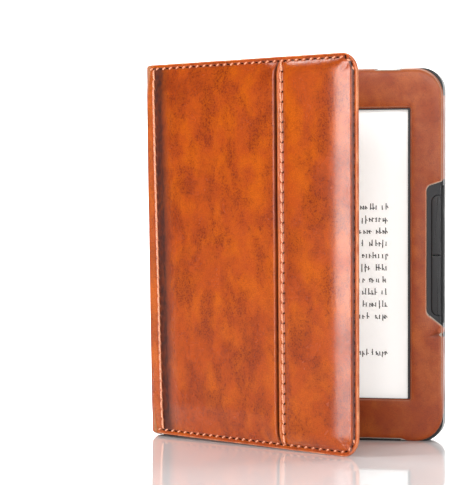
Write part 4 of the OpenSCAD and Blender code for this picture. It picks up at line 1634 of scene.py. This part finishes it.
def build_page_key(name, node, material):
    """One page key: a crowned cap with rounded edges and a large inner corner."""
    low, high = corner_mm(node, False), corner_mm(node, True)
    right = low.x > 0
    upper = (low.z + high.z) / 2 > corner_mm("right_lower_key", True).z
    z0, z1 = low.z, high.z
    front = low.y
    cap_in, cap_out = sorted((abs(low.x), abs(high.x)))
    cap_in += KEY_FLANGE
    big, small = 2.8, 0.4

    def ring(d, y):
        """The cap's outline moved in by d, at the depth y."""
        corners = (
            (cap_in + d, z0 + d, small if upper else big), (cap_out - d, z0 + d, small),
            (cap_out - d, z1 - d, small), (cap_in + d, z1 - d, big if upper else small),
        )
        outline = filleted([(x, z, max(r - d, 0.05)) for x, z, r in corners])
        return [Vector((p.x, y, p.y)) for p in outline]

    shape = Shape()
    rows = [ring(0.0, front + 1.3)]
    rows += [ring(d, y) for d, y in rolled(0.3, front, 4)]
    rows.append(ring(1.1, front - 0.05))
    shape.tube(rows)
    if not right:
        for p in shape.points:
            p.x = -p.x
    obj = shape.build(name, [material])
    placed(obj, node, "key_plastic", node)


def build_keys(settings):
    """The four page keys and the power button."""
    material = plastic("Key plastic", settings.keys, rough=0.4, grain=3200.0, depth=0.015)
    for side in ("left", "right"):
        for place in ("upper", "lower"):
            node = f"{side}_{place}_key"
            build_page_key(node + "_cap", node, material)
    finish_node("power_button", material, edge=0.12)


def finish_case(settings):
    """Materials of the reader's case, chassis and screws."""
    case = plastic("Reader plastic", settings.case, rough=0.45)
    finish_node("front_bezel", case, edge=0.12)
    finish_node("rear_shell", case, edge=0.12)
    finish_node("chassis", metal("Cast chassis", (0.5, 0.51, 0.53), rough=0.5, stretch=(1, 1, 1)))
    screw = metal("Screw steel", (0.62, 0.62, 0.63), rough=0.25, stretch=(1, 12, 1))
    finish_node("case_screws", screw)
    finish_node("board_screws", screw)


def mark_strokes(pick):
    """One small mark that stands for nothing: a short upright with ticks on it."""
    x = pick.uniform(0.15, 0.6)
    foot = -0.45 if pick.random() < 0.1 else pick.uniform(-0.03, 0.12)
    head = 1.5 if pick.random() < 0.25 else pick.uniform(0.82, 1.02)
    lean = pick.uniform(-0.08, 0.08)
    strokes = [[(x, foot), (x + lean, head)]]
    strokes.append([(x - 0.2, max(foot, 0.0)), (x + 0.24, max(foot, 0.0))])
    if pick.random() < 0.75:
        level = pick.uniform(0.35, 0.95)
        strokes.append([(x, level), (x + 0.35, level + pick.uniform(-0.3, 0.12)),
                        (x + 0.62, level - pick.uniform(0.15, 0.5))])
    if pick.random() < 0.3:
        strokes.append([(x - 0.22, 0.62), (x - 0.02, 0.9)])
    return strokes


def build_page_marks(settings):
    """Lines of small unreadable marks on the page, set out like an opening page."""
    pick = random.Random(7)
    shape = Shape()
    y = corner_mm("eink_panel", False).y - 0.012
    size = settings.mark_height / MM
    right = settings.margin / MM
    pitch = settings.line_pitch / MM
    thick = 0.088 * size

    def stroke(points, x, z, scale):
        for (ax, az), (bx, bz) in zip(points, points[1:]):
            a = Vector((x + ax * scale * 0.78, z + az * scale))
            b = Vector((x + bx * scale * 0.78, z + bz * scale))
            way = (b - a).normalized()
            heavy = thick * (0.75 + 0.75 * abs(way.y)) * scale / size
            n = Vector((-way.y, way.x)) * heavy
            reach = way * heavy * 0.5
            corners = (a - reach + n, b + reach + n, b + reach - n, a - reach - n)
            base = len(shape.points)
            shape.points += [Vector((c.x, y, c.y)) for c in corners]
            shape.points += [Vector((c.x, y + 0.01, c.y)) for c in corners]
            shape.face((base, base + 1, base + 2, base + 3))
            shape.face((base + 7, base + 6, base + 5, base + 4))
            for i in range(4):
                j = (i + 1) % 4
                shape.face((base + i, base + 4 + i, base + 4 + j, base + j))

    def line(z, x0, x1, scale):
        """Words of marks from x0 to x1, spread so that the last one ends at x1."""
        advance = scale * 0.84
        words, used = [], 0.0
        while True:
            count = pick.choice((2, 3, 3, 4, 4, 5, 6, 7, 8))
            if used + count * advance > x1 - x0:
                break
            words.append(count)
            used += count * advance + scale * 0.5
        marks = sum(words) * advance
        gap = (x1 - x0 - marks + advance * 0.2) / max(1, len(words) - 1)
        x = x0
        for count in words:
            for _ in range(count):
                for points in mark_strokes(pick):
                    stroke(points, x, z, scale)
                x += advance
            x += gap

    first = FIRST_LINE - size / 2
    line(first + 2.6 * pitch, -13.0, 13.0, size * 1.25)
    for i in range(10):
        line(first - i * pitch, -right + (5 if i == 0 else 0), right, size)
    line(first - 10 * pitch, -right, 14.0, size)
    line(first - 11 * pitch, -right + 5, 8.0, size)
    line(first - 12 * pitch, -right, right, size)
    line(first - 13 * pitch, -right, 3.0, size)
    obj = shape.build("page_marks", [ink("Electronic ink")], smooth=False)
    placed(obj, "holder", "page")


def build_screen(settings):
    """The page, its marks, the clear film and the seal round it."""
    finish_node("eink_panel", paper("Electronic paper", settings.page))
    finish_node("touch_panel", clear_film("Clear matt film"))
    finish_node("screen_gasket", foam("Black seal foam", (0.02, 0.02, 0.02)))
    build_page_marks(settings)


def finish_electronics():
    """Materials of the boards, chips, ribbons, battery and switches."""
    board = circuit("Circuit board", (0.012, 0.09, 0.05), (0.03, 0.2, 0.11))
    chip = plastic("Chip resin", (0.02, 0.02, 0.022), rough=0.55)
    ribbon = plastic("Ribbon film", (0.42, 0.19, 0.04), rough=0.3, grain=900.0)
    steel = metal("Tinned steel", (0.68, 0.68, 0.68), rough=0.28, stretch=(10, 1, 1))
    for node in ("main_board", "port_board", "left_key_board", "right_key_board"):
        finish_node(node, board)
    for node in ("board_chips", "hall_sensor", "power_switch"):
        finish_node(node, chip)
    for node in ("display_flex", "port_flex", "key_flexes"):
        finish_node(node, ribbon)
    for node in ("shield_can", "key_domes"):
        finish_node(node, steel)
    finish_node("charging_port", steel, edge=0.08)
    finish_node("wifi_antenna", metal("Gilt antenna", (0.78, 0.58, 0.25), rough=0.3))
    finish_node("battery", metal("Battery foil", (0.62, 0.64, 0.68), rough=0.42))
    finish_node("battery_lead", plastic("Wire sleeve", (0.45, 0.03, 0.03), rough=0.4))


# ---------------------------------------------------------------- the stage

CAMERA_PLACE = (0.16328, -0.89037, 0.09161)


def build_stage(settings):
    """A pale floor that curves up behind, four soft lights, a soft sky and the camera."""
    floor = Shape()
    wide = 2600
    bend = [(-wide, 0.0), (1400.0, 0.0)]
    bend += [(1400 + 500 * math.sin(a), 500 - 500 * math.cos(a))
             for a in (math.pi / 2 * k / 10 for k in range(1, 11))]
    bend.append((1900.0, 1800.0))
    rows = [[Vector((x, y, z - 0.02)) for x in (-wide, 0, wide)] for y, z in bend]
    floor.rows(rows)
    material, tree, shader = new_material("Studio floor")
    soft = noise_value(tree, object_place(tree), 9.0, 3.0)
    feed(shader, {
        "Base Color": mixed(tree, soft, toned(settings.floor, 0.985), settings.floor),
        "Roughness": 0.05,
        "Specular IOR Level": 0.75,
    })
    floor.build("studio_floor", [material], facing=(0, 0, 1))

    target = Vector((-0.01, -0.03, 0.08))
    lights = (
        ("key_softbox", (-0.87, -0.84, 0.42), target, 0.28, 0.95, settings.key_power),
        ("side_softbox", (0.95, -0.42, 0.3), target, 0.2, 0.7, settings.side_power),
        ("front_softbox", (0.25, -1.75, 0.6), target, 1.3, 0.8, settings.front_power),
        ("backdrop_light", (0.0, 0.55, 1.3), Vector((0.0, 1.72, 0.25)), 2.2, 0.8,
         settings.backdrop_power),
    )
    for name, place, aim, wide, tall, power in lights:
        light = bpy.data.lights.new(name, "AREA")
        light.shape = "RECTANGLE"
        light.size = wide
        light.size_y = tall
        light.energy = power
        obj = bpy.data.objects.new(name, light)
        obj.location = place
        obj.rotation_euler = (aim - Vector(place)).to_track_quat("-Z", "Y").to_euler()
        bpy.context.scene.collection.objects.link(obj)

    world = bpy.data.worlds.new("Soft sky")
    world.use_nodes = True
    feed(world.node_tree.nodes["Background"], {"Color": (1, 1, 1), "Strength": settings.sky})
    bpy.context.scene.world = world
    bpy.context.scene.view_settings.view_transform = "Standard"

    camera = bpy.data.cameras.new("camera")
    camera.lens = settings.focal_length
    camera.sensor_width = 36
    camera.clip_start = 0.05
    camera.clip_end = 20
    obj = bpy.data.objects.new("camera", camera)
    obj.location = CAMERA_PLACE
    obj.rotation_euler = (math.pi / 2 - settings.camera_dip, 0, settings.camera_turn)
    bpy.context.scene.collection.objects.link(obj)
    bpy.context.scene.camera = obj


# ---------------------------------------------------------------- operators and panel

class FolioOperator:
    bl_options = {"REGISTER", "UNDO"}


class FOLIO_OT_cover_leather(FolioOperator, bpy.types.Operator):
    """Make the cover's outer leather panels and their seam"""
    bl_idname = "folio.cover_leather"
    bl_label = "Cover Leather"

    def execute(self, context):
        build_cover_leather(context.scene.folio_cover)
        return {"FINISHED"}


class FOLIO_OT_cover_edge(FolioOperator, bpy.types.Operator):
    """Make the painted edge round the cover"""
    bl_idname = "folio.cover_edge"
    bl_label = "Cover Edge"

    def execute(self, context):
        build_cover_edge(context.scene.folio_cover)
        return {"FINISHED"}


class FOLIO_OT_cover_lining(FolioOperator, bpy.types.Operator):
    """Make the suede inside the cover and finish what lies under it"""
    bl_idname = "folio.cover_lining"
    bl_label = "Cover Lining"

    def execute(self, context):
        build_cover_lining(context.scene.folio_cover)
        build_cover_fill(context.scene.folio_cover)
        finish_cover_core()
        return {"FINISHED"}


class FOLIO_OT_cover_stitching(FolioOperator, bpy.types.Operator):
    """Sew the cover's three rows of stitches"""
    bl_idname = "folio.cover_stitching"
    bl_label = "Cover Stitching"

    def execute(self, context):
        build_cover_stitching(context.scene.folio_cover)
        return {"FINISHED"}


class FOLIO_OT_spine(FolioOperator, bpy.types.Operator):
    """Make the two folds of the spine"""
    bl_idname = "folio.spine"
    bl_label = "Spine"

    def execute(self, context):
        build_spine(context.scene.folio_cover)
        return {"FINISHED"}


class FOLIO_OT_back_panel(FolioOperator, bpy.types.Operator):
    """Make the padded leather on the holder's back"""
    bl_idname = "folio.back_panel"
    bl_label = "Back Panel"

    def execute(self, context):
        build_back_panel(context.scene.folio_cover)
        return {"FINISHED"}


class FOLIO_OT_holder(FolioOperator, bpy.types.Operator):
    """Make the frame leather and finish the tray"""
    bl_idname = "folio.holder"
    bl_label = "Holder"

    def execute(self, context):
        build_frame_leather(context.scene.folio_holder)
        finish_holder(context.scene.folio_holder)
        return {"FINISHED"}


class FOLIO_OT_keys(FolioOperator, bpy.types.Operator):
    """Make the page keys and finish the power button"""
    bl_idname = "folio.keys"
    bl_label = "Keys"

    def execute(self, context):
        build_keys(context.scene.folio_reader)
        return {"FINISHED"}


class FOLIO_OT_case(FolioOperator, bpy.types.Operator):
    """Finish the reader's case, chassis and screws"""
    bl_idname = "folio.case"
    bl_label = "Case"

    def execute(self, context):
        finish_case(context.scene.folio_reader)
        return {"FINISHED"}


class FOLIO_OT_screen(FolioOperator, bpy.types.Operator):
    """Make the page with its marks and the film over it"""
    bl_idname = "folio.screen"
    bl_label = "Screen"

    def execute(self, context):
        build_screen(context.scene.folio_reader)
        return {"FINISHED"}


class FOLIO_OT_electronics(FolioOperator, bpy.types.Operator):
    """Finish the boards, ribbons, battery and switches"""
    bl_idname = "folio.electronics"
    bl_label = "Electronics"

    def execute(self, context):
        finish_electronics()
        return {"FINISHED"}


class FOLIO_OT_stage(FolioOperator, bpy.types.Operator):
    """Make the floor, the lights and the camera"""
    bl_idname = "folio.stage"
    bl_label = "Stage"

    def execute(self, context):
        build_stage(context.scene.folio_stage)
        return {"FINISHED"}


OPERATORS = (
    FOLIO_OT_cover_leather, FOLIO_OT_cover_edge, FOLIO_OT_cover_lining,
    FOLIO_OT_cover_stitching, FOLIO_OT_spine, FOLIO_OT_back_panel, FOLIO_OT_holder,
    FOLIO_OT_keys, FOLIO_OT_case, FOLIO_OT_screen, FOLIO_OT_electronics, FOLIO_OT_stage,
)
SETTINGS = {
    "folio_cover": FolioCoverSettings, "folio_holder": FolioHolderSettings,
    "folio_reader": FolioReaderSettings, "folio_stage": FolioStageSettings,
}


class VIEW3D_PT_folio(bpy.types.Panel):
    """Pieces of the folio and their settings"""
    bl_label = "E-reader folio"
    bl_space_type = "VIEW_3D"
    bl_region_type = "UI"
    bl_category = "Folio"

    def draw(self, context):
        layout = self.layout
        for operator in OPERATORS:
            layout.operator(operator.bl_idname)
        for name, group_type in SETTINGS.items():
            box = layout.box()
            box.label(text=group_type.__doc__)
            for key in group_type.__annotations__:
                box.prop(getattr(context.scene, name), key)


def register():
    for group_type in SETTINGS.values():
        bpy.utils.register_class(group_type)
    for name, group_type in SETTINGS.items():
        setattr(bpy.types.Scene, name, PointerProperty(type=group_type))
    for operator in OPERATORS:
        bpy.utils.register_class(operator)
    bpy.utils.register_class(VIEW3D_PT_folio)


def unregister():
    bpy.utils.unregister_class(VIEW3D_PT_folio)
    for operator in reversed(OPERATORS):
        bpy.utils.unregister_class(operator)
    for name in SETTINGS:
        delattr(bpy.types.Scene, name)
    for group_type in reversed(list(SETTINGS.values())):
        bpy.utils.unregister_class(group_type)


def main():
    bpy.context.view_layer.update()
    register()
    for operator in OPERATORS:
        space, name = operator.bl_idname.split(".")
        getattr(getattr(bpy.ops, space), name)()


if __name__ == "__main__":
    main()
